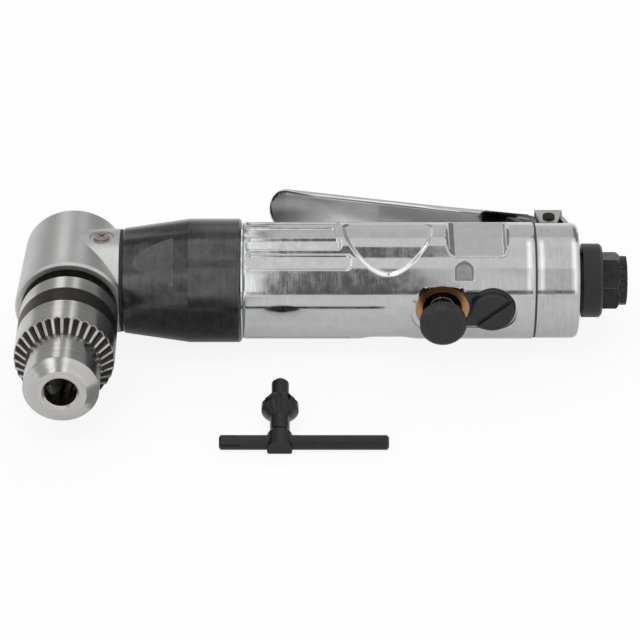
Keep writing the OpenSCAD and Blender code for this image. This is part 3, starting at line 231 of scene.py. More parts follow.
    def bump(
        self, height: Socket, depth: float, strength: float = 1.0, under: Socket | None = None
    ) -> Socket:
        """Returns the normal of a surface whose height varies by depth millimetres."""
        sockets: dict = {"Height": height, "Distance": depth * MM, "Strength": strength}
        if under is not None:
            sockets["Normal"] = under
        return self.node("ShaderNodeBump", sockets).outputs[0]

    def close(self, shader: Socket) -> Material | bpy.types.World:
        """Feeds the output with the shader, and returns the material or world."""
        self.tree.links.new(shader, self.output.inputs[0])
        return self.owner

    def surface(
        self, colour: Socket, rough: Socket | float, normal: Socket, metallic: float,
        specular: float = 0.5,
    ) -> Material:
        """Closes the tree with a Principled shader, and returns the material."""
        sockets = {"Base Color": colour, "Roughness": rough, "Normal": normal, "Metallic": metallic,
                   "Specular IOR Level": specular}
        return self.close(self.node("ShaderNodeBsdfPrincipled", sockets).outputs[0])


@dataclass(frozen=True)
class Finish(ABC):
    """A procedural finish. Colours are linear, lengths in millimetres, scales in cycles per metre."""

    name: str

    @abstractmethod
    def build(self) -> Material:
        """Returns the material."""


@dataclass(frozen=True)
class MarkedMetal(Finish):
    """Bare metal with fine marks that run round an axis.

    It can have paler edges, which on the screw are a painted highlight; a speckled dark colour where the
    piece's attribute says so, which on the sleeve is its dark band and painted shade; and a black end
    outside a core of the given radius."""

    axis: Axis
    tint: Colour
    roughness: float = 0.3
    marks: float = 3.0
    broken: float = 2.0
    depth: float = 0.004
    streaks: float = 0.18
    edge: Colour | None = None
    edge_reach: float = 0.35
    dark: Colour | None = None
    dark_roughness: float = 0.42
    core: float = 0.0
    core_dark: Colour = (0.012, 0.01, 0.01)

    def build(self) -> Material:
        """Returns the material."""
        tree = Tree(self.name)
        marks = tree.turning(self.axis, self.marks, self.broken)
        wide = tree.turning(self.axis, self.marks / 9.0, self.broken / 2.0)
        both = tree.times(tree.math("ADD", marks, wide), 0.5)
        colour = tree.mottle(both, (0.36, 0.64), self.tint, 1.0 - self.streaks, 1.0 + self.streaks)
        rough = tree.vary(tree.noise(tree.place(), 90.0), self.roughness, 0.85, 1.15)
        if self.dark is not None:
            # Where the attribute says so: a speckled dark colour, on the sleeve its dark band and
            # painted shade.
            speck = tree.noise(tree.place(), 2600.0, 3.0, 0.65)
            foot = tree.mottle(speck, (0.35, 0.68), self.dark, 1.0, 2.2)
            colour = tree.blend(tree.shade(), colour, foot)
            least = tree.times(tree.shade(), self.dark_roughness)
            rough = tree.math("MAXIMUM", rough, least)
        if self.core:
            radius = tree.round_axis(self.axis)[1]
            past = tree.between(radius, (self.core - 0.1) * MM, (self.core + 0.1) * MM)
            colour = tree.blend(past, colour, self.core_dark)
        # Paler edges: on the screw, a painted highlight on its rim.
        if self.edge is not None:
            worn = tree.times(tree.edges(self.edge_reach), 0.8)
            colour = tree.blend(worn, colour, self.edge)
        return tree.surface(colour, rough, tree.bump(marks, self.depth), 1.0)


@dataclass(frozen=True)
class PolishedCasting(Finish):
    """Buffed cast aluminium: soft waves from the buffing wheel, fine scratches and a few small pits.

    The rim colour is a painted highlight, on the shoulders of the recesses and in the glints: short
    bright bands across the body's front at their places along it. Where the piece's attribute says so,
    it is a rough grey skin whose darker grey is painted shade in the recess."""

    tint: Colour = (0.52, 0.52, 0.525)
    roughness: float = 0.09
    wave: float = 0.04
    hair: float = 0.0003
    pit: float = 0.006
    rim: Colour = (0.97, 0.97, 0.97)
    scratch: Colour = (0.1, 0.1, 0.1)
    streak: float = 0.04
    # The greys of the pocket's rough skin; their darkness is painted shade in the recess.
    cast: Pair = (0.1, 0.36)
    cast_roughness: float = 0.42
    glints: tuple[float, ...] = ()
    glint_half: Pair = (0.2, 1.3)

    def glint(self, tree: Tree, colour: Socket) -> Socket:
        """Returns the colour with the glints, painted highlights, added on the side that faces the
        camera and upwards.
        """
        along, _, back, up = tree.round_axis(Axis.BODY)
        facing = tree.times(tree.between(up, 0.28, 0.42), tree.between(back, -0.2, -0.32))
        inner, outer = (half * MM for half in self.glint_half)
        for middle in self.glints:
            away = tree.math("ABSOLUTE", tree.math("SUBTRACT", along, middle * MM))
            near = tree.times(tree.between(away, inner, outer, 0.85, 0.0), facing)
            colour = tree.blend(near, colour, self.rim)
        return colour

    def build(self) -> Material:
        """Returns the material."""
        tree = Tree(self.name)
        place = tree.place()
        waves = tree.noise(tree.stretched(place, (0.35, 1.0, 1.0)), 120.0, 2.0)
        hairs = tree.noise(tree.stretched(place, (1.0, 0.06, 0.06)), 2600.0, 3.0, 0.6)
        cloud = tree.noise(place, 260.0, 4.0, 0.6)
        pits = tree.between(tree.noise(place, 900.0, 2.0), 0.24, 0.3)
        colour = tree.mottle(cloud, NOISE_SPAN, self.tint, 0.93, 1.05)
        scuffs = tree.times(cloud, hairs)
        rough = tree.between(scuffs, 0.15, 0.35, self.roughness * 0.7, self.roughness * 1.6)
        colour = tree.blend(tree.between(hairs, 0.42, 0.7, 0.0, self.streak), colour, self.scratch)
        # Painted highlight: the rim colour on the shoulders where the shade attribute says so, and in
        # the glints.
        colour = tree.blend(tree.shade(), self.glint(tree, colour), self.rim)
        # The pocket's rough skin: its darker grey is painted shade in the recess.
        skin_and_shade = tree.shade("as_cast")
        skin_and_shade_grey = tree.blend(cloud, *map(grey, self.cast))
        colour = tree.blend(tree.times(skin_and_shade, 0.8), colour, skin_and_shade_grey)
        rough = tree.math("MAXIMUM", rough, tree.times(skin_and_shade, self.cast_roughness))
        normal = tree.bump(hairs, self.hair, 1.0, tree.bump(waves, self.wave))
        return tree.surface(colour, rough, tree.bump(pits, self.pit, 0.5, normal), 1.0)


@dataclass(frozen=True)
class BlackenedSteel(Finish):
    """Blackened steel: a dark coat with turning marks, cloudy patches and edges worn to the metal."""

    axis: Axis
    tint: Colour = (0.035, 0.035, 0.037)
    worn: Colour = (0.2, 0.2, 0.2)
    roughness: float = 0.38
    marks: float = 5.0
    metallic: float = 0.85
    edge_reach: float = 0.3
    depth: float = 0.003

    def build(self) -> Material:
        """Returns the material."""
        tree = Tree(self.name)
        marks = tree.turning(self.axis, self.marks, 1.5)
        cloud = tree.noise(tree.place(), 320.0, 4.0, 0.6)
        both = tree.times(tree.math("ADD", marks, cloud), 0.5)
        colour = tree.mottle(both, (0.38, 0.62), self.tint, 0.72, 1.35)
        patches = tree.between(cloud, 0.35, 0.6, 0.25, 1.0)
        wear = tree.times(tree.edges(self.edge_reach), patches)
        colour = tree.blend(wear, colour, self.worn)
        rough = tree.vary(cloud, self.roughness, 0.85, 1.2)
        return tree.surface(colour, rough, tree.bump(marks, self.depth), self.metallic)


@dataclass(frozen=True)
class MattBlack(Finish):
    """Black moulded or dipped surface with a fine grain and slightly paler rubbed edges."""

    tint: Colour = (0.014, 0.014, 0.015)
    worn: Colour = (0.09, 0.09, 0.09)
    roughness: float = 0.42
    grain: float = 0.008
    grain_scale: float = 2200.0
    edge_reach: float = 0.25
    specular: float = 0.5

    def build(self) -> Material:
        """Returns the material."""
        tree = Tree(self.name)
        place = tree.place()
        grain = tree.noise(place, self.grain_scale, 2.0)
        cloud = tree.noise(place, 350.0, 4.0, 0.6)
        colour = tree.mottle(cloud, NOISE_SPAN, self.tint, 0.8, 1.25)
        rubbed = tree.times(tree.edges(self.edge_reach), 0.7)
        colour = tree.blend(rubbed, colour, self.worn)
        rough = tree.vary(cloud, self.roughness, 0.85, 1.15)
        return tree.surface(colour, rough, tree.bump(grain, self.grain), 0.0, self.specular)


@dataclass(frozen=True)
class PlatedSheet(Finish):
    """Plated sheet steel, drawn and tumbled: streaks along the sheet, soft stains and fine scratches.

    A tab, clamped between the cap and the ring, is painted black as shade. It lies past the first
    number in x, under the second in y."""

    tint: Colour = (0.54, 0.54, 0.545)
    roughness: float = 0.11
    stretch: Point = (0.12, 1.0, 1.0)
    dark: Colour = (0.02, 0.02, 0.022)
    streak_depth: float = 0.0012
    stain_depth: float = 0.008
    bumps: float = 1.0
    tab: Pair | None = None

    def build(self) -> Material:
        """Returns the material."""
        tree = Tree(self.name)
        place = tree.place()
        streaks = tree.noise(tree.stretched(place, self.stretch), 1500.0, 3.0, 0.6)
        stains = tree.noise(place, 130.0, 5.0, 0.62)
        shares = tree.times(streaks, 0.4), tree.times(stains, 0.6)
        colour = tree.mottle(tree.math("ADD", *shares), (0.36, 0.64), self.tint, 0.9, 1.08)
        # Painted shade where the shade attribute says so: the lever's open end and the ears' roots.
        colour = tree.blend(tree.shade(), colour, self.dark)
        # The tab: painted shade, black.
        if self.tab is not None:
            x, y, _ = tree.place_parts()
            past = tree.math("GREATER_THAN", x, self.tab[0] * MM)
            under = tree.math("LESS_THAN", y, self.tab[1] * MM)
            colour = tree.blend(tree.times(past, under), colour, self.dark)
        rough = tree.vary(stains, self.roughness, 1.3, 0.8)
        normal = tree.bump(streaks, self.streak_depth * self.bumps)
        normal = tree.bump(stains, self.stain_depth * self.bumps, 0.5, normal)
        return tree.surface(colour, rough, normal, 1.0)


@dataclass(frozen=True)
class Fibre(Finish):
    """Pressed fibre or rubber: matt, speckled, with a coarse grain."""

    tint: Colour = (0.05, 0.036, 0.03)
    roughness: float = 0.75
    grain: float = 0.02

    def build(self) -> Material:
        """Returns the material."""
        tree = Tree(self.name)
        speck = tree.noise(tree.place(), 3200.0, 3.0, 0.7)
        colour = tree.mottle(speck, (0.35, 0.65), self.tint, 0.6, 1.5)
        return tree.surface(colour, self.roughness, tree.bump(speck, self.grain), 0.0)


def joined(*parts: Array | float) -> Array:
    """Returns points with the parts as coordinates, each repeated where it has too few values."""
    return np.stack(np.broadcast_arrays(*parts), -1)


def closed_faces(rows: int, columns: int, closed_rows: bool = False) -> Array:
    """Faces of a grid of points whose columns, and rows if so told, close on themselves.

    Args:
        rows: the number of rows.
        columns: the number of columns.
        closed_rows: whether the last row joins the first.

    Returns:
        One row of four point numbers for each face.
    """
    row, column = np.arange(rows if closed_rows else rows - 1)[:, None], np.arange(columns)
    after, beside = (row + 1) % rows * columns, (column + 1) % columns
    row = row * columns
    return joined(row + column, after + column, after + beside, row + beside).reshape(-1, 4)


def placed(name: str, data: bpy.types.ID) -> Object:
    """Returns a new object with the data, linked to the scene at its origin."""
    made = bpy.data.objects.new(name, data)
    bpy.context.scene.collection.objects.link(made)
    return made


def new_object(
    name: str, points: Array, faces: Array, weld: float, sharp: float = 40.0, **levels: Array
) -> Object:
    """Puts points and faces into a smooth shaded object.

    Args:
        name: the object's name.
        points: the points, in any grid shape, with three numbers each.
        faces: point numbers, four for each face.
        weld: points closer than this become one.
        sharp: the angle in degrees over which an edge stays sharp.
        levels: an attribute's name to its value at each point, before the weld.

    Returns:
        The object, at the origin.
    """
    flat = np.ascontiguousarray(points.reshape(-1, 3) * MM, dtype=np.float32)
    mesh = bpy.data.meshes.new(name)
    mesh.vertices.add(len(flat))
    mesh.vertices.foreach_set("co", flat.ravel())
    mesh.loops.add(faces.size)
    mesh.loops.foreach_set("vertex_index", faces.ravel().astype(np.int32))
    mesh.polygons.add(len(faces))
    starts = np.arange(0, faces.size, faces.shape[1], dtype=np.int32)
    mesh.polygons.foreach_set("loop_start", starts)
    mesh.update(calc_edges=True)
    made = placed(name, mesh)
    for attribute, level in levels.items():
        set_level(made, level, attribute)
    soft = bmesh.new()
    soft.from_mesh(mesh)
    bmesh.ops.remove_doubles(soft, verts=soft.verts, dist=weld * MM)
    bmesh.ops.dissolve_degenerate(soft, dist=1e-7, edges=soft.edges)
    bmesh.ops.recalc_face_normals(soft, faces=soft.faces)
    soft.to_mesh(mesh)
    soft.free()
    smooth(mesh, sharp)
    return made


def smooth(mesh: bpy.types.Mesh, sharp: float) -> None:
    """Shades a mesh smooth, except over edges sharper than an angle in degrees."""
    mesh.polygons.foreach_set("use_smooth", np.ones(len(mesh.polygons), bool))
    mesh.set_sharp_from_angle(angle=math.radians(sharp))


def set_level(piece: Object, level: Array, name: str = "shade") -> None:
    """Keeps a value between 0 and 1 at each point, as an attribute for the piece's finish to read."""
    held = piece.data.attributes.new(name, "FLOAT", "POINT")
    held.data.foreach_set("value", np.clip(level, 0.0, 1.0).astype(np.float32).ravel())


def points_of(piece: Object) -> Array:
    """Returns the piece's points, one row each."""
    flat = np.empty(len(piece.data.vertices) * 3, np.float32)
    piece.data.vertices.foreach_get("co", flat)
    return flat.reshape(-1, 3) / MM


def ease(share: Array) -> Array:
    """Returns 0 below 0, 1 above 1 and the smooth step 3 s^2 - 2 s^3 between."""
    held = np.clip(share, 0.0, 1.0)
    return held * held * (3.0 - 2.0 * held)


def shoulder(share: Array) -> Array:
    """Returns 1 halfway down a smooth step and 0 where it ends: 4 s (1 - s)."""
    return 4.0 * share * (1.0 - share)


def unit(rows: Array) -> Array:
    """Returns the rows at length 1."""
    return rows / np.linalg.norm(rows, axis=1, keepdims=True)


def depth_inside(x: Array, y: Array, outline: Array) -> Array:
    """Returns how far points lie inside an outline, from its nearest side, and negative outside."""
    nearest = np.full(x.shape, np.inf)
    inside = np.zeros(x.shape, bool)
    for (x0, y0), (x1, y1) in zip(outline, np.roll(outline, -1, axis=0)):
        run, rise = x1 - x0, y1 - y0
        share = np.clip(((x - x0) * run + (y - y0) * rise) / (run * run + rise * rise), 0.0, 1.0)
        nearest = np.minimum(nearest, np.hypot(x - x0 - share * run, y - y0 - share * rise))
        if rise != 0.0:
            inside ^= ((y0 > y) != (y1 > y)) & (x < run * (y - y0) / rise + x0)
    return np.where(inside, nearest, -nearest)


def spread(limits: list[float], pitches: list[float]) -> Array:
    """Returns stations between the limits, with each stretch's own pitch."""
    parts = [np.linspace(low, high, max(1, round((high - low) / pitch)), endpoint=False)
             for low, high, pitch in zip(limits, limits[1:], pitches)]
    return np.concatenate([*parts, [limits[-1]]])


def carve(body: Object, cutters: list[Object], sharp: float = 32.0) -> None:
    """Cuts closed shapes out of a body for good and removes them. Edges over the angle stay sharp."""
    for cutter in cutters:
        made = body.modifiers.new(cutter.name, "BOOLEAN")
        made.operation = "DIFFERENCE"
        made.solver = "EXACT"
        made.object = cutter
    bpy.context.view_layer.update()
    whole = body.evaluated_get(bpy.context.evaluated_depsgraph_get())
    cut = bpy.data.meshes.new_from_object(whole)
    body.modifiers.clear()
    old, body.data = body.data, cut
    cut.name = body.name
    bpy.data.meshes.remove(old)
    for cutter in cutters:
        bpy.data.objects.remove(cutter)
    smooth(cut, sharp)


def fit_out(
    piece: Object, body: str, slot: str, material: Material, *nodes: str
) -> None:
    """Puts a piece on its CAD body, in place of the nodes that it replaces."""
    piece.data.materials.clear()
    piece.data.materials.append(material)
    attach(piece, body)
    if nodes:
        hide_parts(*nodes)
    LOG.info("piece %s on %s, %d faces", piece.name, body, len(piece.data.polygons))


@dataclass
class Studio:
    """Floor, lamps, reflected cards, world and camera.

    A wall is a card that stands across the view: its name, y, x from and to, z from and to, and
    level. A deck lies flat: its name, z, x from and to, y from and to, and level. The slanted card
    lies flat too, with the x and y of its corners. A lamp has its name, place, size and watts."""

    eye: Point = (82.75, -887.0, 610.0)
    target: Point = (82.75, 59.0, -11.1)
    lens: float = 190.0
    floor_half: float = 3000.0
    floor_tint: float = 0.9
    floor_seen: float = 0.88
    floor_in_gloss: float = 0.38
    world_level: float = 0.62
    lamp_aim: Point = (0.085, 0.06, 0.0)
    lamps: tuple[tuple[str, Point, Pair, float], ...] = (
        ("lamp_above", (-0.1, -0.35, 1.25), (1.5, 1.1), 7.0),
        ("lamp_back", (0.3, 1.1, 0.9), (1.6, 0.9), 4.5),
    )
    faded_level: float = 0.95
    walls: tuple[Card, ...] = (
        ("card_front", -0.75, 0.042, 0.150, 0.063, 1.21, 0.15),
        ("light_front", -0.76, -0.1, 0.0185, 0.063, 1.21, 2.6),
        ("card_front_cap", -0.75, 0.215, 0.3, 0.2, 1.21, 0.7),
        ("card_front_low", -0.75, 0.15, 0.32, 0.07, 0.19, 0.22),
        ("card_left", 0.3, -0.6, -0.088, 0.03, 0.5, 0.42),
        ("strip_left", 0.299, -0.09, -0.032, 0.1, 0.25, 1.5),
        ("card_middle", 0.3, -0.09, 0.032, 0.03, 0.5, 0.46),
        ("strip_right", 0.299, 0.031, 0.056, 0.13, 0.28, 1.45),
        ("card_right", 0.3, 0.055, 0.062, 0.03, 0.5, 0.35),
        ("nose_left", -0.2, -0.3, -0.13, 0.05, 0.26, 0.45),
        ("nose_strip_left", -0.2, -0.13, -0.06, 0.05, 0.26, 1.9),
        ("nose_middle", -0.2, -0.06, 0.012, 0.05, 0.26, 0.28),
        ("nose_strip_right", -0.2, 0.012, 0.059, 0.05, 0.26, 1.7),
        ("card_back", 1.6, -0.4, 0.43, 0.1, 1.9, 0.78),
        ("card_back_right", 1.6, 0.43, 1.9, 0.1, 1.9, 0.3),
    )
    decks: tuple[Card, ...] = (
        ("card_low_near", -0.0203, 0.014, 0.0555, 0.0, 0.066, 0.3),
        ("card_over", 1.6, -0.1, 0.19, -0.245, 0.466, 0.18),
        ("light_over", 1.59, -0.16, 0.02, -0.5, 0.8, 2.2),
        # card_under: a painted reflection of the floor's shadow under the body, seen in the metal's
        # gloss.
        ("card_under", -0.0204, -0.02, 0.09, 0.076, 0.1, 0.03),
    )
    slanted: tuple[Pair, ...] = ((0.016, 0.0), (0.057, 0.0), (0.02, -1.6), (-0.09, -1.6))
    slanted_z: float = -0.018
    slanted_level: float = 0.34
    faded_card: str = "card_under"
    fade_x: Pair = (0.056, 0.078)
    fade_y: Pair = (0.083, 0.072)

    @staticmethod
    def sheet(tree: Tree, name: str, corners: list[Point]) -> Object:
        """Returns a new flat face between four corners, with the tree's material."""
        mesh = bpy.data.meshes.new(name)
        mesh.from_pydata(corners, [], [(0, 1, 2, 3)])
        mesh.materials.append(tree.owner)
        return placed(name, mesh)

    def floor(self) -> None:
        """A pale floor that looks white to the camera and keeps a soft shadow."""
        half, z = self.floor_half * MM, FLOOR_Z * MM
        tree = Tree("pale_floor")
        colour = (*grey(self.floor_tint), 1.0)
        matt = tree.node("ShaderNodeBsdfDiffuse", {"Color": colour}).outputs[0]
        camera = tree.node("ShaderNodeLightPath").outputs["Is Camera Ray"]
        shares = (tree.times(camera, self.floor_seen),
                  tree.times(tree.seen(), self.floor_in_gloss))
        mixed = {0: tree.math("MAXIMUM", *shares), 1: matt, 2: tree.glow("Emission", 1.0)}
        tree.close(tree.node("ShaderNodeMixShader", mixed).outputs[0])
        corners = [(-half, -half, z), (half, -half, z), (half, half, z), (-half, half, z)]
        self.sheet(tree, "floor", corners)

    def world(self) -> None:
        """A white background, with a plainer, weaker light on the object."""
        world = bpy.data.worlds.new("studio")
        bpy.context.scene.world = world
        tree = Tree("studio", world)
        light, white = tree.glow("Background", self.world_level), tree.glow("Background", 1.0)
        mixed = {0: tree.seen(), 1: light, 2: white}
        tree.close(tree.node("ShaderNodeMixShader", mixed).outputs[0])

    def lamp(self, name: str, place: Point, size: Pair, watts: float) -> None:
        """A soft rectangular lamp that points at the object and doesn't show in its gloss."""
        data = bpy.data.lights.new(name, "AREA")
        data.shape = "RECTANGLE"
        data.size, data.size_y = size
        data.energy = watts
        made = placed(name, data)
        made.location = place
        way = Vector(self.lamp_aim) - Vector(place)
        made.rotation_euler = way.to_track_quat("-Z", "Y").to_euler()
        made.visible_glossy = False

    def card(self, name: str, corners: list[Point], level: float) -> None:
        """A grey card or a bright strip that only shows as a reflection in the metal.

        Args:
            name: the card's name.
            corners: its four corners.
            level: how bright it is. The faded card keeps it up to the first x and y of the fade,
                and has the background's level from the second ones.
        """
        tree = Tree(name)
        strength: Socket | float = level
        if name == self.faded_card:
            x, y, _ = tree.place_parts()
            strength = tree.math("MAXIMUM", tree.between(y, *self.fade_y, level, self.faded_level),
                                 tree.between(x, *self.fade_x, level, self.faded_level))
        tree.close(tree.glow("Emission", strength))
        made = self.sheet(tree, name, corners)
        for ray in ("camera", "diffuse", "shadow", "transmission"):
            setattr(made, f"visible_{ray}", False)

    def camera(self) -> None:
        """The camera at the photograph's viewing angle."""
        data = bpy.data.cameras.new("camera")
        data.lens = self.lens
        data.sensor_width = 36.0
        data.clip_start, data.clip_end = 0.05, 20.0
        made = placed("camera", data)
        eye, target = Vector(self.eye) * MM, Vector(self.target) * MM
        made.location = eye
        made.rotation_euler = (target - eye).to_track_quat("-Z", "Y").to_euler()
        bpy.context.scene.camera = made

    def build(self) -> None:
        """Makes everything that isn't part of the drill."""
        self.floor()
        self.world()
        for lamp in self.lamps:
            self.lamp(*lamp)
        for name, y, left, right, low, high, level in self.walls:
            corners = [(left, y, low), (right, y, low), (right, y, high), (left, y, high)]
            self.card(name, corners, level)
        corners = [(x, y, self.slanted_z) for x, y in self.slanted]
        self.card("card_low", corners, self.slanted_level)
        for name, z, left, right, near, far, level in self.decks:
            corners = [(left, near, z), (right, near, z), (right, far, z), (left, far, z)]
            self.card(name, corners, level)
        self.camera()
        bpy.context.scene.view_settings.view_transform = "Standard"


@dataclass
class Housing:
    """The cast body: a turned shell whose radius dips, with soft shoulders, in the flutes, the side
    panels, the side flats and the pocket, and machined holes and a flat for the valves.

    A shine says where a painted highlight on a shoulder ends across the body, and over which length it
    fades."""

    front: float = 57.2
    rear: float = 153.9
    radius: float = 19.5
    flute_turn: float = 50.5
    flute_pitch: float = 20.0
    flutes: tuple[Pair, ...] = ((5.1, 34.8), (4.4, 31.2), (3.7, 29.7), (4.4, 31.2))
    flute_depth: float = 0.7
    flute_soft: float = 0.75
    flute_from: float = 1.0
    flute_corner: float = 0.3
    panel_x: float = 105.3
    panel_half: float = 14.7
    panel_top: float = 6.0
    panel_corner: float = 3.0
    panel_drop: float = 21.3
    panel_depth: float = 0.6
    panel_soft: float = 1.25
    panel_shine: Pair = (3.5, 4.0)
    flat_z: float = 16.3
    flat_from: float = 127.7
    flat_to: float = 142.1
    flat_soft: float = 0.45
    pocket_x: float = 127.4
    pocket_width: float = 5.8
    pocket_turn: float = 41.6
    pocket_foot: float = 3.1
    pocket_depth: float = 1.5
    pocket_soft: float = 0.75
    pocket_arch: float = 0.2
    pocket_slope: Pair = (0.6, 1.0)
    pocket_shine: Pair = (-3.6, 1.2)
    knob_seat: float = 10.6
    disc_seat: float = 8.3
    seat_half: float = 7.0
    bush_hole: float = 8.83
    disc_hole: float = 4.0
    stem_x: float = 141.6
    stem_hole: float = 4.5
    guide_hole: float = 5.8

    def panel_outline(self) -> Array:
        """Returns the shield shape of the side panel: rounded corners above, half an ellipse below."""
        top, corner = self.panel_top, self.panel_corner
        turn = np.radians(np.linspace(0.0, 90.0, 7))
        across = self.panel_half - corner + corner * np.cos(turn)
        right = joined(across, top - corner + corner * np.sin(turn))
        left = right[::-1] * (-1.0, 1.0)
        low = np.radians(np.linspace(12.0, 168.0, 27))
        below = top - corner - (self.panel_drop - corner) * np.sin(low)
        bottom = joined(-self.panel_half * np.cos(low), below)
        return np.concatenate([right, left, bottom]) + (self.panel_x, 0.0)

    def outer_radius(self, x: Array, turn: Array) -> tuple[Array, Array, Array]:
        """The shell's radius: the plain one, less each recess times a smooth step of the depth in it.

        Args:
            x: place along the body.
            turn: angle from the chuck side upwards, from -pi to pi.

        Returns:
            The radii, how much painted highlight each point gets on a shoulder, and how much it has of
            the pocket's rough skin, whose darker grey is painted shade.
        """
        radius = np.full(x.shape, self.radius)
        rim = np.zeros(x.shape)
        outline = self.panel_outline()
        for side in (1.0, -1.0):
            angle = side * turn
            for index in range(len(self.flutes)):
                radius, rim = self.flute(x, angle, index, radius, rim)
            y = -self.radius * np.cos(turn)
            depth = depth_inside(x, y, outline) / self.panel_soft
            share = ease(0.5 + depth) * (np.sin(angle) > 0.0)
            # Painted highlight on the panel's shoulder, fading out past the shine's end.
            end, fade = self.panel_shine
            rim = np.maximum(rim, shoulder(share) * ease((end - y) / fade))
            radius = self.side_flat(x, angle, radius - self.panel_depth * share)
        lean = turn - math.radians(self.pocket_turn)
        v, half = self.radius * np.sin(lean), self.pocket_width / 2.0
        u = x - self.pocket_x - half
        straight = np.maximum(np.abs(u) - half, -self.pocket_foot - v)
        arch = self.pocket_arch
        gap = np.where(v > arch, np.hypot(u, v - arch) - half, straight)
        share = ease(0.5 - gap / self.pocket_soft) * (np.cos(lean) > FACING)
        # Painted highlight on the pocket's shoulder, fading out near its foot.
        end, fade = self.pocket_shine
        rim = np.maximum(rim, 3.0 * share * (1.0 - share) * ease((v - end) / fade))
        sloped = np.interp(v, [-self.pocket_foot, self.pocket_foot], self.pocket_slope)
        # Third: the pocket's rough skin, whose darker grey is painted shade in the recess.
        return radius - self.pocket_depth * share * sloped, rim, ease((share - 0.55) / 0.4)

    def flute(
        self, x: Array, angle: Array, index: int, radius: Array, rim: Array
    ) -> tuple[Array, Array]:
        """Sinks one flute, a flat strip with rounded corners, into the shell.

        Args:
            x: place along the body.
            angle: angle from the chuck side to this side of the body.
            index: the flute's number from the chuck side.
            radius: the radii so far.
            rim: the painted highlights on the shoulders so far.

        Returns:
            The new radii and painted highlights.
        """
        width, length = self.flutes[index]
        lean = angle - math.radians(self.flute_turn + index * self.flute_pitch)
        across = self.radius * np.sin(lean)
        corner = self.flute_corner * width
        start = x - self.front - self.flute_from
        past_end = np.abs(start - length / 2.0) - length / 2.0 + corner
        past_side = np.abs(across) - width / 2.0 + corner
        outside = np.hypot(np.maximum(past_end, 0.0), np.maximum(past_side, 0.0))
        gap = outside + np.minimum(np.maximum(past_end, past_side), 0.0) - corner
        share = ease(0.5 - gap / self.flute_soft) * (np.cos(lean) > FACING)
        # The painted highlight is weighted to the flute's lower side and its ends, which face the light.
        low = np.clip(0.55 - across / (0.5 * width), 0.0, 1.0)
        low = np.maximum(low, 0.75 * ease((past_end + 0.4) / 0.8) * (across < 0.3 * width))
        floor = (self.radius - self.flute_depth) / np.maximum(np.cos(lean), FACING)
        sunk = radius * (1.0 - share) + np.minimum(floor, radius) * share
        return sunk, np.maximum(rim, shoulder(share) * low)

    def side_flat(self, x: Array, angle: Array, radius: Array) -> Array:
        """Returns the radii with the side flat, which a round cutter leaves at both ends, milled in."""
        scoop = self.radius - self.flat_z
        past = np.maximum(np.maximum(self.flat_from - x, x - self.flat_to), 0.0)
        left = np.sqrt(np.maximum(scoop**2 - np.minimum(past, scoop) ** 2, 0.0))
        height = self.flat_z + scoop - left
        rise = np.sin(angle)
        plane = np.where(rise > 0.5, height / np.maximum(rise, 0.5), FAR)
        share = np.clip(0.5 + 0.5 * (plane - radius) / self.flat_soft, 0.0, 1.0)
        return plane * (1.0 - share) + radius * share - self.flat_soft * share * (1.0 - share)

    def rod(self, name: str, x: float, stations: list[Pair]) -> Object:
        """Returns a closed round cutter across the body at x, from y less AXIS_Y and radius."""
        profile = np.array([(stations[0][0], 0.0), *stations, (stations[-1][0], 0.0)])
        y, radius = profile.T[..., None]
        turn = np.linspace(0.0, 2.0 * np.pi, 96, endpoint=False)
        points = joined(radius * np.sin(turn) + x, AXIS_Y + y, radius * np.cos(turn))
        return new_object(name, points, closed_faces(*points.shape[:2]), 0.001)

    def cutters(self) -> list[Object]:
        """Returns the spotfaces of knob and disc, the flat between them and the valves' holes."""
        seat, out = -VALVE_SEAT, -30.0
        half = self.seat_half
        around = ((KNOB_X, -half), (DISC_X, -half), (DISC_X, half), (KNOB_X, half))
        box = np.array([[x, AXIS_Y + y, z] for y in (seat, out) for x, z in around])
        sides = np.array([
            (0, 1, 2, 3), (7, 6, 5, 4), (0, 4, 5, 1), (1, 5, 6, 2), (2, 6, 7, 3), (3, 7, 4, 0)])
        guide, hole, disc = self.guide_hole, self.stem_hole, self.disc_seat
        stepped = [(30.0, guide), (19.0, guide), (19.0, hole), (8.0, hole)]
        return [
            self.rod("cut_knob_seat", KNOB_X, [(seat, self.knob_seat), (out, self.knob_seat)]),
            self.rod("cut_disc_seat", DISC_X, [(seat - 0.001, disc), (out, disc)]),
            new_object("cut_between", box + (0.0, 0.0005, 0.0), sides, 0.0001),
            self.rod("cut_bush", KNOB_X, [(10.0, self.bush_hole), (out, self.bush_hole)]),
            self.rod("cut_disc", DISC_X, [(-9.5, self.disc_hole), (out, self.disc_hole)]),
            self.rod("cut_guide", self.stem_x, stepped),
        ]

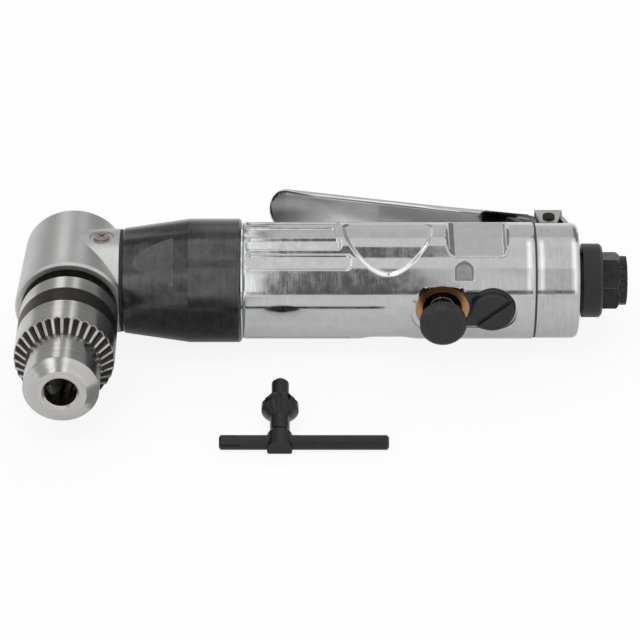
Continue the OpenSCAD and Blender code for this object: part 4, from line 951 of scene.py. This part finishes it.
    def build(self) -> None:
        """Makes the body."""
        x = spread(
            [self.front + 0.7, 61.0, 85.0, 94.5, 120.5, 123.0, 127.0, 133.6, 147.0, self.rear - 0.6],
            [0.27, 2.4, 0.27, 0.33, 0.6, 0.3, 0.2, 0.3, 1.2])
        fine, coarse = 0.75, 1.9
        turn = np.radians(spread([-180.0, -119.0, -29.0, 29.0, 32.0, 52.0, 119.0, 180.0],
                                 [coarse, fine, coarse, fine, 0.5, fine, coarse])[:-1])
        outer, rim, skin_and_shade = self.outer_radius(*np.meshgrid(x, turn, indexing="ij"))
        head = np.array([(110.5, 0.0), (110.5, 16.0), (42.5, 16.0), (42.5, 17.75), (56.5, 17.75),
                         (56.5, 19.3), (56.6, 19.4), (57.1, 19.4), (57.2, 19.3), (57.2, 19.05),
                         (57.3, 19.25), (57.5, 19.43)])
        tail = np.array([(153.6, 19.44), (153.8, 19.3), (153.9, 19.1), (153.9, 8.0), (147.9, 8.0),
                         (147.9, 0.0)])
        steps = len(turn)
        along = np.concatenate([head[:, 0], x, tail[:, 0]])
        before, after = (np.repeat(ends[:, 1:], steps, 1) for ends in (head, tail))
        radii = np.concatenate([before, outer, after])
        points = joined(along[:, None], AXIS_Y - radii * np.cos(turn), radii * np.sin(turn))
        # Attributes: the shoulders' painted highlight, and the pocket's darker skin, partly painted
        # shade.
        levels = np.zeros((2, *radii.shape))
        levels[:, len(head):len(head) + len(x)] = rim, skin_and_shade
        shell = new_object("body_shell", points, closed_faces(*radii.shape), 0.0005,
                           shade=levels[0], as_cast=levels[1])
        carve(shell, self.cutters())
        # The glint near the rear end is a painted highlight.
        finish = PolishedCasting("polished_body", glints=(151.9,))
        fit_out(shell, "drill", "cast_aluminium", finish.build(), "housing")


@dataclass
class Lever:
    """The pressed throttle lever: a shallow pan whose rim rolls over into a lip, and two ears on the
    pin. Heights are over the body axis."""

    hinge: Pair = (160.6, 27.5)
    hinge_hole: float = 1.55
    sheet: float = 1.2
    roll: float = 1.25
    lip: float = 3.0
    edge: float = 0.25
    inner: float = 0.35
    sheet_end: float = 154.1
    end_half: float = 6.1
    tip: float = 65.3
    full: float = 71.6
    half: float = 8.5
    ear_inner: float = 4.9
    ear_outer: float = 6.1
    lip_end: float = 137.6
    tip_slope: float = 0.02
    top_x: tuple[float, ...] = (65.3, 71.6, 85.0, 106.0, 120.0, 131.0, 143.0, 154.1)
    top_y: tuple[float, ...] = (47.0, 46.0, 43.1, 38.6, 35.7, 34.0, 33.3, 33.1)

    def top(self, x: Array) -> Array:
        """Returns the height of the sheet's top: the side line, averaged over 6 mm, with a steep tip."""
        reach = 3.0
        shifts = np.linspace(-reach, reach, 13)
        raised = [np.interp(x + shift, self.top_x, self.top_y) for shift in shifts]
        flat_from = self.tip + reach
        slope = np.where(x < flat_from, (flat_from - x) * self.tip_slope, 0.0)
        return np.mean(raised, axis=0) + slope

    def outline(self) -> Array:
        """Returns the plan, from the hinge end round the tip and back: x and z of each point."""
        side_x = spread([self.full, 136.0, 140.0, self.sheet_end], [1.9, 0.25, 1.3])[:0:-1]
        side_z = np.interp(side_x, [71.6, 118.0, 130.6, 138.6, 151.6, 154.1],
                           [8.5, 8.5, 8.2, 7.7, 6.3, 6.1])
        turn = np.linspace(90.0, -90.0, 41)
        tip_x = self.full - (self.full - self.tip) * np.cos(np.radians(turn))
        tip_z = self.half * np.sin(np.radians(turn))
        near = joined(side_x, side_z)
        far = near[::-1] * (1.0, -1.0)
        across = np.linspace(-self.end_half, self.end_half, 13)[1:-1]
        return np.concatenate([near, joined(tip_x, tip_z), far, joined(self.sheet_end, across)])

    def sheet_points(self) -> Array:
        """Points of the pan: rings that lie on the outline at an inset and a drop, from the spine over
        the top, round the rolled rim, down the lip and back underneath."""
        line = self.outline()
        way = unit(np.roll(line, -1, axis=0) - np.roll(line, 1, axis=0))
        normal = joined(-way[:, 1], way[:, 0])
        spine = joined(np.clip(line[:, 0], self.full + 2.0, self.sheet_end - 3.0), 0.0)
        if np.mean(np.sum((spine - line) * normal, axis=1)) < 0:
            normal = -normal
        lip = np.interp(line[:, 0], [68.0, 80.0, self.lip_end, self.lip_end + 1.2],
                        [self.sheet, self.lip, self.lip, self.sheet])
        roll = np.minimum(self.roll, lip - 0.1)
        hollow = ease((lip - self.sheet - 0.1) / 0.8)
        sheet, inner, edge = self.sheet, self.inner, self.edge
        over, under = line + normal * roll[:, None], line + normal * (sheet + inner)
        rings = [(spine + (over - spine) * share, 0.0) for share in (0.0, 0.3, 0.6, 0.85)]
        for angle in np.radians(np.linspace(0.0, 90.0, 8)):
            inset = (roll * (1.0 - np.sin(angle)))[:, None]
            rings.append((line + normal * inset, roll * (1.0 - np.cos(angle))))
        rings += [(line, lip - edge), (line + normal * edge, lip),
                  (line + normal * (sheet - edge), lip),
                  (line + normal * sheet, lip * (1.0 - hollow) + (lip - edge) * hollow)]
        for angle in np.radians(np.linspace(90.0, 0.0, 6)):
            inset = sheet + inner * (1.0 - np.sin(angle))
            rings.append((line + normal * inset, sheet + inner * hollow * (1.0 - np.cos(angle))))
        rings += [(spine + (under - spine) * share, sheet) for share in (0.85, 0.5, 0.0)]
        plan = np.stack([ring for ring, _ in rings])
        drop = np.stack([np.broadcast_to(fall, len(line)) for _, fall in rings])
        return joined(plan[..., 0], AXIS_Y + self.top(plan[..., 0]) - drop, plan[..., 1])

    def ear_points(self, side: float) -> Array:
        """Points of one ear: a plate between its outline and the pin's hole, both seen from the
        hole's centre."""
        corners = np.array([
            (147.6, 32.0), (154.1, 32.0), (155.9, 31.2), (158.6, 30.2), (160.6, 30.45), (162.7, 29.6),
            (163.55, 27.5), (162.7, 25.4), (160.6, 24.55), (158.6, 24.7), (149.6, 27.3), (146.6, 30.6)])
        closed = np.concatenate([corners, corners[:1]])
        sides = np.linalg.norm(np.diff(closed, axis=0), axis=1)
        reach = np.concatenate([[0.0], np.cumsum(sides)])
        steps = np.linspace(0.0, reach[-1], 96, endpoint=False)
        outer = joined(*(np.interp(steps, reach, part) for part in closed.T))
        centre = np.array(self.hinge)
        aim = unit(outer - centre)
        hole = centre + aim * self.hinge_hole
        soft, low, high = 0.15, self.ear_inner, self.ear_outer
        inset, wider = outer - aim * soft, hole + aim * soft
        loops = [(inset, high), (wider, high), (hole, high - soft), (hole, low + soft),
                 (wider, low), (inset, low), (outer, low + soft), (outer, high - soft)]
        return np.stack([joined(loop[:, 0], loop[:, 1] + AXIS_Y, side * z) for loop, z in loops])

    def build(self) -> None:
        """Makes the lever, with painted shade, near black, in its open end and at the roots of its ears.
        """
        material = PlatedSheet("plated_lever").build()
        points = self.sheet_points()
        sheet = new_object("lever_sheet", points, closed_faces(*points.shape[:2]), 0.01, 50.0)
        place = points_of(sheet)
        # Painted shade on the underside past the lip's end, where one looks into the dark under the
        # lever.
        under = self.top(place[:, 0]) + AXIS_Y - place[:, 1] > self.sheet * 0.6
        behind = ease((place[:, 0] - self.lip_end - 0.2) / 0.6) * (np.abs(place[:, 2]) < 7.4)
        set_level(sheet, under * behind * 0.96)
        fit_out(sheet, "throttle_lever", "sheet_steel", material, "lever")
        for name, side in (("lever_ear_near", -1.0), ("lever_ear_far", 1.0)):
            ear = self.ear_points(side)
            faces = closed_faces(*ear.shape[:2], closed_rows=True)
            piece = new_object(name, ear, faces, 0.001, 50.0)
            # Painted shade at the ears' roots, under the lever.
            set_level(piece, 0.93 * ease((154.5 - points_of(piece)[:, 0]) / 1.5))
            fit_out(piece, "throttle_lever", "sheet_steel", material)


@dataclass
class Sleeve:
    """The turning sleeve: a dark band, a bright band and a ring of bevel teeth, with painted shade in
    the groove and down the tooth valleys.

    Places along it are distances from the body axis. Its outer radius is the smaller of the turned
    form and the tooth flanks, so each valley runs out of the cone into the cylinder behind it as a
    pointed arch."""

    back: float = 29.7
    front: float = 51.0
    band: float = 36.9
    groove: float = 0.3
    chamfer: Pair = (0.25, 0.08)
    teeth_from: float = 47.9
    radius: float = 16.3
    foot: float = 12.6
    bore: float = 12.35
    core: float = 14.7
    nut_from: float = 39.7
    nut_to: float = 47.3
    nut_radius: float = 14.2
    teeth: int = 32
    depth: float = 1.35
    land: float = 0.06
    floor: float = 0.47

    def stations(self) -> Array:
        """Returns the places along the outside, with a groove between the dark and the bright band."""
        soft, back, band = 0.25, self.back, self.band
        return np.concatenate([
            [back, back + soft * 0.3, back + soft, band - soft, band - 0.08, band + 0.08, band + soft],
            spread([band + 0.6, 45.4, self.teeth_from - 0.15], [2.4, 0.2]),
            np.linspace(self.teeth_from, self.front, 22),
        ])

    def outside(self, along: Array, valley: Array) -> tuple[Array, Array]:
        """The outer radius: the smaller of the turned form and the tooth flanks.

        Args:
            along: the places along the sleeve.
            valley: how far down between two teeth each point of a round lies, 0 to 1.

        Returns:
            The radii, and how dark each point is: the dark band, and painted shade in the groove and the
            tooth valleys.
        """
        groove = slice(4, 6)
        steep = (self.radius - self.foot) / (self.front - self.teeth_from)
        line = self.radius - (along - self.teeth_from) * steep
        plain = np.where(along <= self.teeth_from, self.radius, line)
        plain[:2] -= self.chamfer
        plain[groove] -= self.groove
        line[self.band + 1.0 > along] = FAR
        cut = np.interp(along, [self.teeth_from, self.front], [self.depth, self.depth * 0.3])
        line, plain, along = line[:, None], plain[:, None], along[:, None]
        radii = np.maximum(np.minimum(plain, line - cut[:, None] * valley), self.bore + 0.02)
        # Past the dark band: painted shade that deepens down the tooth valleys and where they run out,
        # and in the groove.
        depth = np.where(along > self.teeth_from, valley - 0.14, plain - radii - 0.06)
        dark = np.where(along < self.band, 1.0, ease(depth / 0.2))
        dark[groove] = 1.0
        return radii, dark

    def build(self) -> None:
        """Makes the sleeve."""
        part = np.array([0.0, 0.04, 0.06, 0.09, 0.14, 0.2, 0.27, 0.34, 0.41, 0.46])
        part = np.concatenate([part, [0.5], 1.0 - part[:0:-1]])
        turn = ((np.arange(self.teeth)[:, None] + part) * 2.0 * np.pi / self.teeth).ravel()
        way = (np.minimum(part, 1.0 - part) - self.land) / (self.floor - self.land)
        along = self.stations()
        radii, dark = self.outside(along, np.tile(np.clip(way, 0.0, 1.0), self.teeth))
        inner = np.array([
            (self.front, self.bore), (self.nut_to, self.bore), (self.nut_to, self.nut_radius),
            (self.nut_from, self.nut_radius), (self.nut_from, self.core), (self.back, self.core)])
        rows_a = np.concatenate([along, inner[:, 0], [self.back]])[:, None]
        rows_r = np.concatenate([radii, np.repeat(inner[:, 1:], len(turn), 1), radii[:1]])
        points = joined(rows_r * np.sin(turn), AXIS_Y - rows_a, rows_r * np.cos(turn))
        shade = np.zeros(rows_r.shape)
        shade[:len(along)] = dark
        faces = closed_faces(*rows_r.shape)
        piece = new_object("toothed_sleeve", points, faces, 0.0005, 24.0, shade=shade)
        # Its dark colour is the dark band's, and painted shade in the groove and valleys.
        finish = MarkedMetal("turned_sleeve", Axis.CHUCK, (0.48, 0.475, 0.47), 0.2, marks=6.0,
                             broken=1.0, depth=0.003, streaks=0.1, dark=(0.026, 0.0215, 0.021))
        fit_out(piece, "sleeve", "chuck_steel", finish.build(), "chuck_sleeve")


@dataclass
class ValvePlate:
    """The black plate that runs from the valve bush on under the regulator, with softened edges."""

    thick: float = 0.8
    ring: float = 8.95
    disc: float = 7.7
    waist: float = 6.25
    hole: float = 4.0
    soft: float = 0.12

    def outline(self) -> Array:
        """Returns x and z of the plate's edge: a disc, and a waist whose end hugs the bush."""
        end = np.radians(np.linspace(-90.0, 90.0, 65))
        lean = math.asin(self.waist / self.disc)
        turn = end * (math.pi - lean) / (math.pi / 2.0)
        disc = joined(DISC_X + self.disc * np.cos(turn), self.disc * np.sin(turn))
        hug = np.linspace(self.waist, -self.waist, 19)
        root = KNOB_X + np.sqrt(self.ring**2 - hug**2)
        out = joined(np.linspace(disc[-1, 0], root[0], 16)[1:], self.waist)
        back = joined(np.linspace(root[0], disc[0, 0], 16)[:-1], -self.waist)
        return np.concatenate([disc, out, joined(root, hug)[1:-1], back])

    def build(self) -> None:
        """Makes the plate, between its outline and the disc's hole."""
        outline = self.outline()
        centre = (DISC_X, 0.0)
        hole = unit(outline - centre) * self.hole + centre
        aim = unit(outline - hole) * self.soft
        low, high = AXIS_Y - VALVE_SEAT, AXIS_Y - VALVE_SEAT - self.thick
        loops = [(outline, low), (outline, high + self.soft), (outline - aim, high), (hole + aim, high),
                 (hole, high + self.soft), (hole, low)]
        points = np.stack([joined(ring[:, 0], y, ring[:, 1]) for ring, y in loops])
        faces = closed_faces(*points.shape[:2], closed_rows=True)
        piece = new_object("valve_plate", points, faces, 0.0005, 50.0)
        fit_out(piece, "drill", "black_plastic", MattBlack("black_plate").build(), "link_plate")


FINISHES: tuple[tuple[str, Finish], ...] = (
    # The cap's glints are painted highlights.
    ("rear_cap", PolishedCasting(
        "polished_casting", roughness=0.12, hair=0.0008, streak=0.2, glints=(156.0, 166.7))),
    ("angle_head", MarkedMetal(
        "satin_head", Axis.CHUCK, (0.545, 0.542, 0.54), 0.38, marks=4.0, broken=2.5, streaks=0.05)),
    ("chuck_body", MarkedMetal(
        "turned_chuck", Axis.CHUCK, (0.5, 0.495, 0.49), 0.22, marks=6.0, broken=1.0, depth=0.003,
        streaks=0.12)),
    ("collar", BlackenedSteel(
        "blackened_collar", Axis.BODY, (0.066, 0.066, 0.067), grey(0.26), 0.19, marks=7.0,
        metallic=1.0)),
    ("inlet_bushing inlet_ring", BlackenedSteel("blackened_inlet", Axis.BODY, (0.024, 0.024, 0.025))),
    ("exhaust_ring", MattBlack("black_ring", specular=0.35)),
    ("reverse_knob", BlackenedSteel(
        "black_knob", Axis.KNOB, grey(0.02), grey(0.1), 0.5, marks=4.0, metallic=0.3)),
    ("regulator", BlackenedSteel(
        "black_disc", Axis.DISC, grey(0.02), grey(0.1), 0.5, marks=4.0, metallic=0.3)),
    ("reverse_bush inlet_screen spindle_bush", MarkedMetal(
        "turned_bronze", Axis.KNOB, (0.46, 0.23, 0.1), marks=5.0, broken=1.0, streaks=0.2)),
    ("reverse_valve", MarkedMetal(
        "valve_steel", Axis.KNOB, (0.5, 0.42, 0.385), 0.22, marks=6.0, broken=1.0, core=4.2)),
    # The bracket's tab is painted shade.
    ("hinge_bracket", PlatedSheet(
        "plated_bracket", (0.5, 0.5, 0.49), 0.3, bumps=0.15, tab=(168.7, 84.0))),
    ("cap_gasket vanes", Fibre("brown_fibre")),
    ("neck_seal", Fibre("black_seal", (0.015, 0.014, 0.014))),
    ("key_body key_bar", MattBlack(
        "black_key", (0.008, 0.008, 0.009), grey(0.035), 0.26, grain=0.004, grain_scale=1500.0,
        specular=0.38)),
    ("hinge_pin", BlackenedSteel("black_pin", Axis.KEY, grey(0.012), grey(0.05), 0.4)),
    ("throttle_guide lock_screw circlip spindle chuck_screw jaw_1 jaw_2 jaw_3", MarkedMetal(
        "hard_steel", Axis.CHUCK, (0.16, 0.155, 0.15), 0.34, marks=5.0, broken=1.0)),
    ("throttle_stem", MarkedMetal("stem_steel", Axis.CHUCK, (0.1, 0.085, 0.08), 0.2)),
    # The screw's pale edge is a painted highlight on its rim.
    ("head_screw", MarkedMetal(
        "screw_steel", Axis.CHUCK, (0.42, 0.35, 0.33), 0.26, marks=5.0, streaks=0.3,
        edge=(0.95, 0.9, 0.88), edge_reach=0.3)),
    ("spindle_bearing pinion_bearing ring_gear front_end_plate cylinder_liner rear_end_plate "
     "front_rotor_bearing rear_rotor_bearing throttle_spring spindle_inner_ring bevel_gear "
     "chuck_nut planet_carrier bevel_pinion planet_pins planet_gear_1 planet_gear_2 "
     "planet_gear_3 rotor sun_gear", MarkedMetal(
         "ground_steel", Axis.BODY, (0.36, 0.355, 0.35), 0.28, marks=5.0, broken=1.0)),
)


def dress_nodes() -> None:
    """Gives every CAD node that is shown as it is the finish that its name stands with."""
    for names, finish in FINISHES:
        material = finish.build()
        for name in names.split():
            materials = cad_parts[name].data.materials
            if not materials:
                materials.append(material)
            for index in range(len(materials)):
                materials[index] = material
        LOG.info("finish %s on %s", material.name, names)


def main() -> None:
    """Builds the studio and dresses the drill."""
    logging.basicConfig(level=logging.INFO, format="%(name)s: %(message)s")
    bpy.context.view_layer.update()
    for part in (Studio(), Housing(), Lever(), Sleeve(), ValvePlate()):
        part.build()
    dress_nodes()


if __name__ == "__main__":
    main()
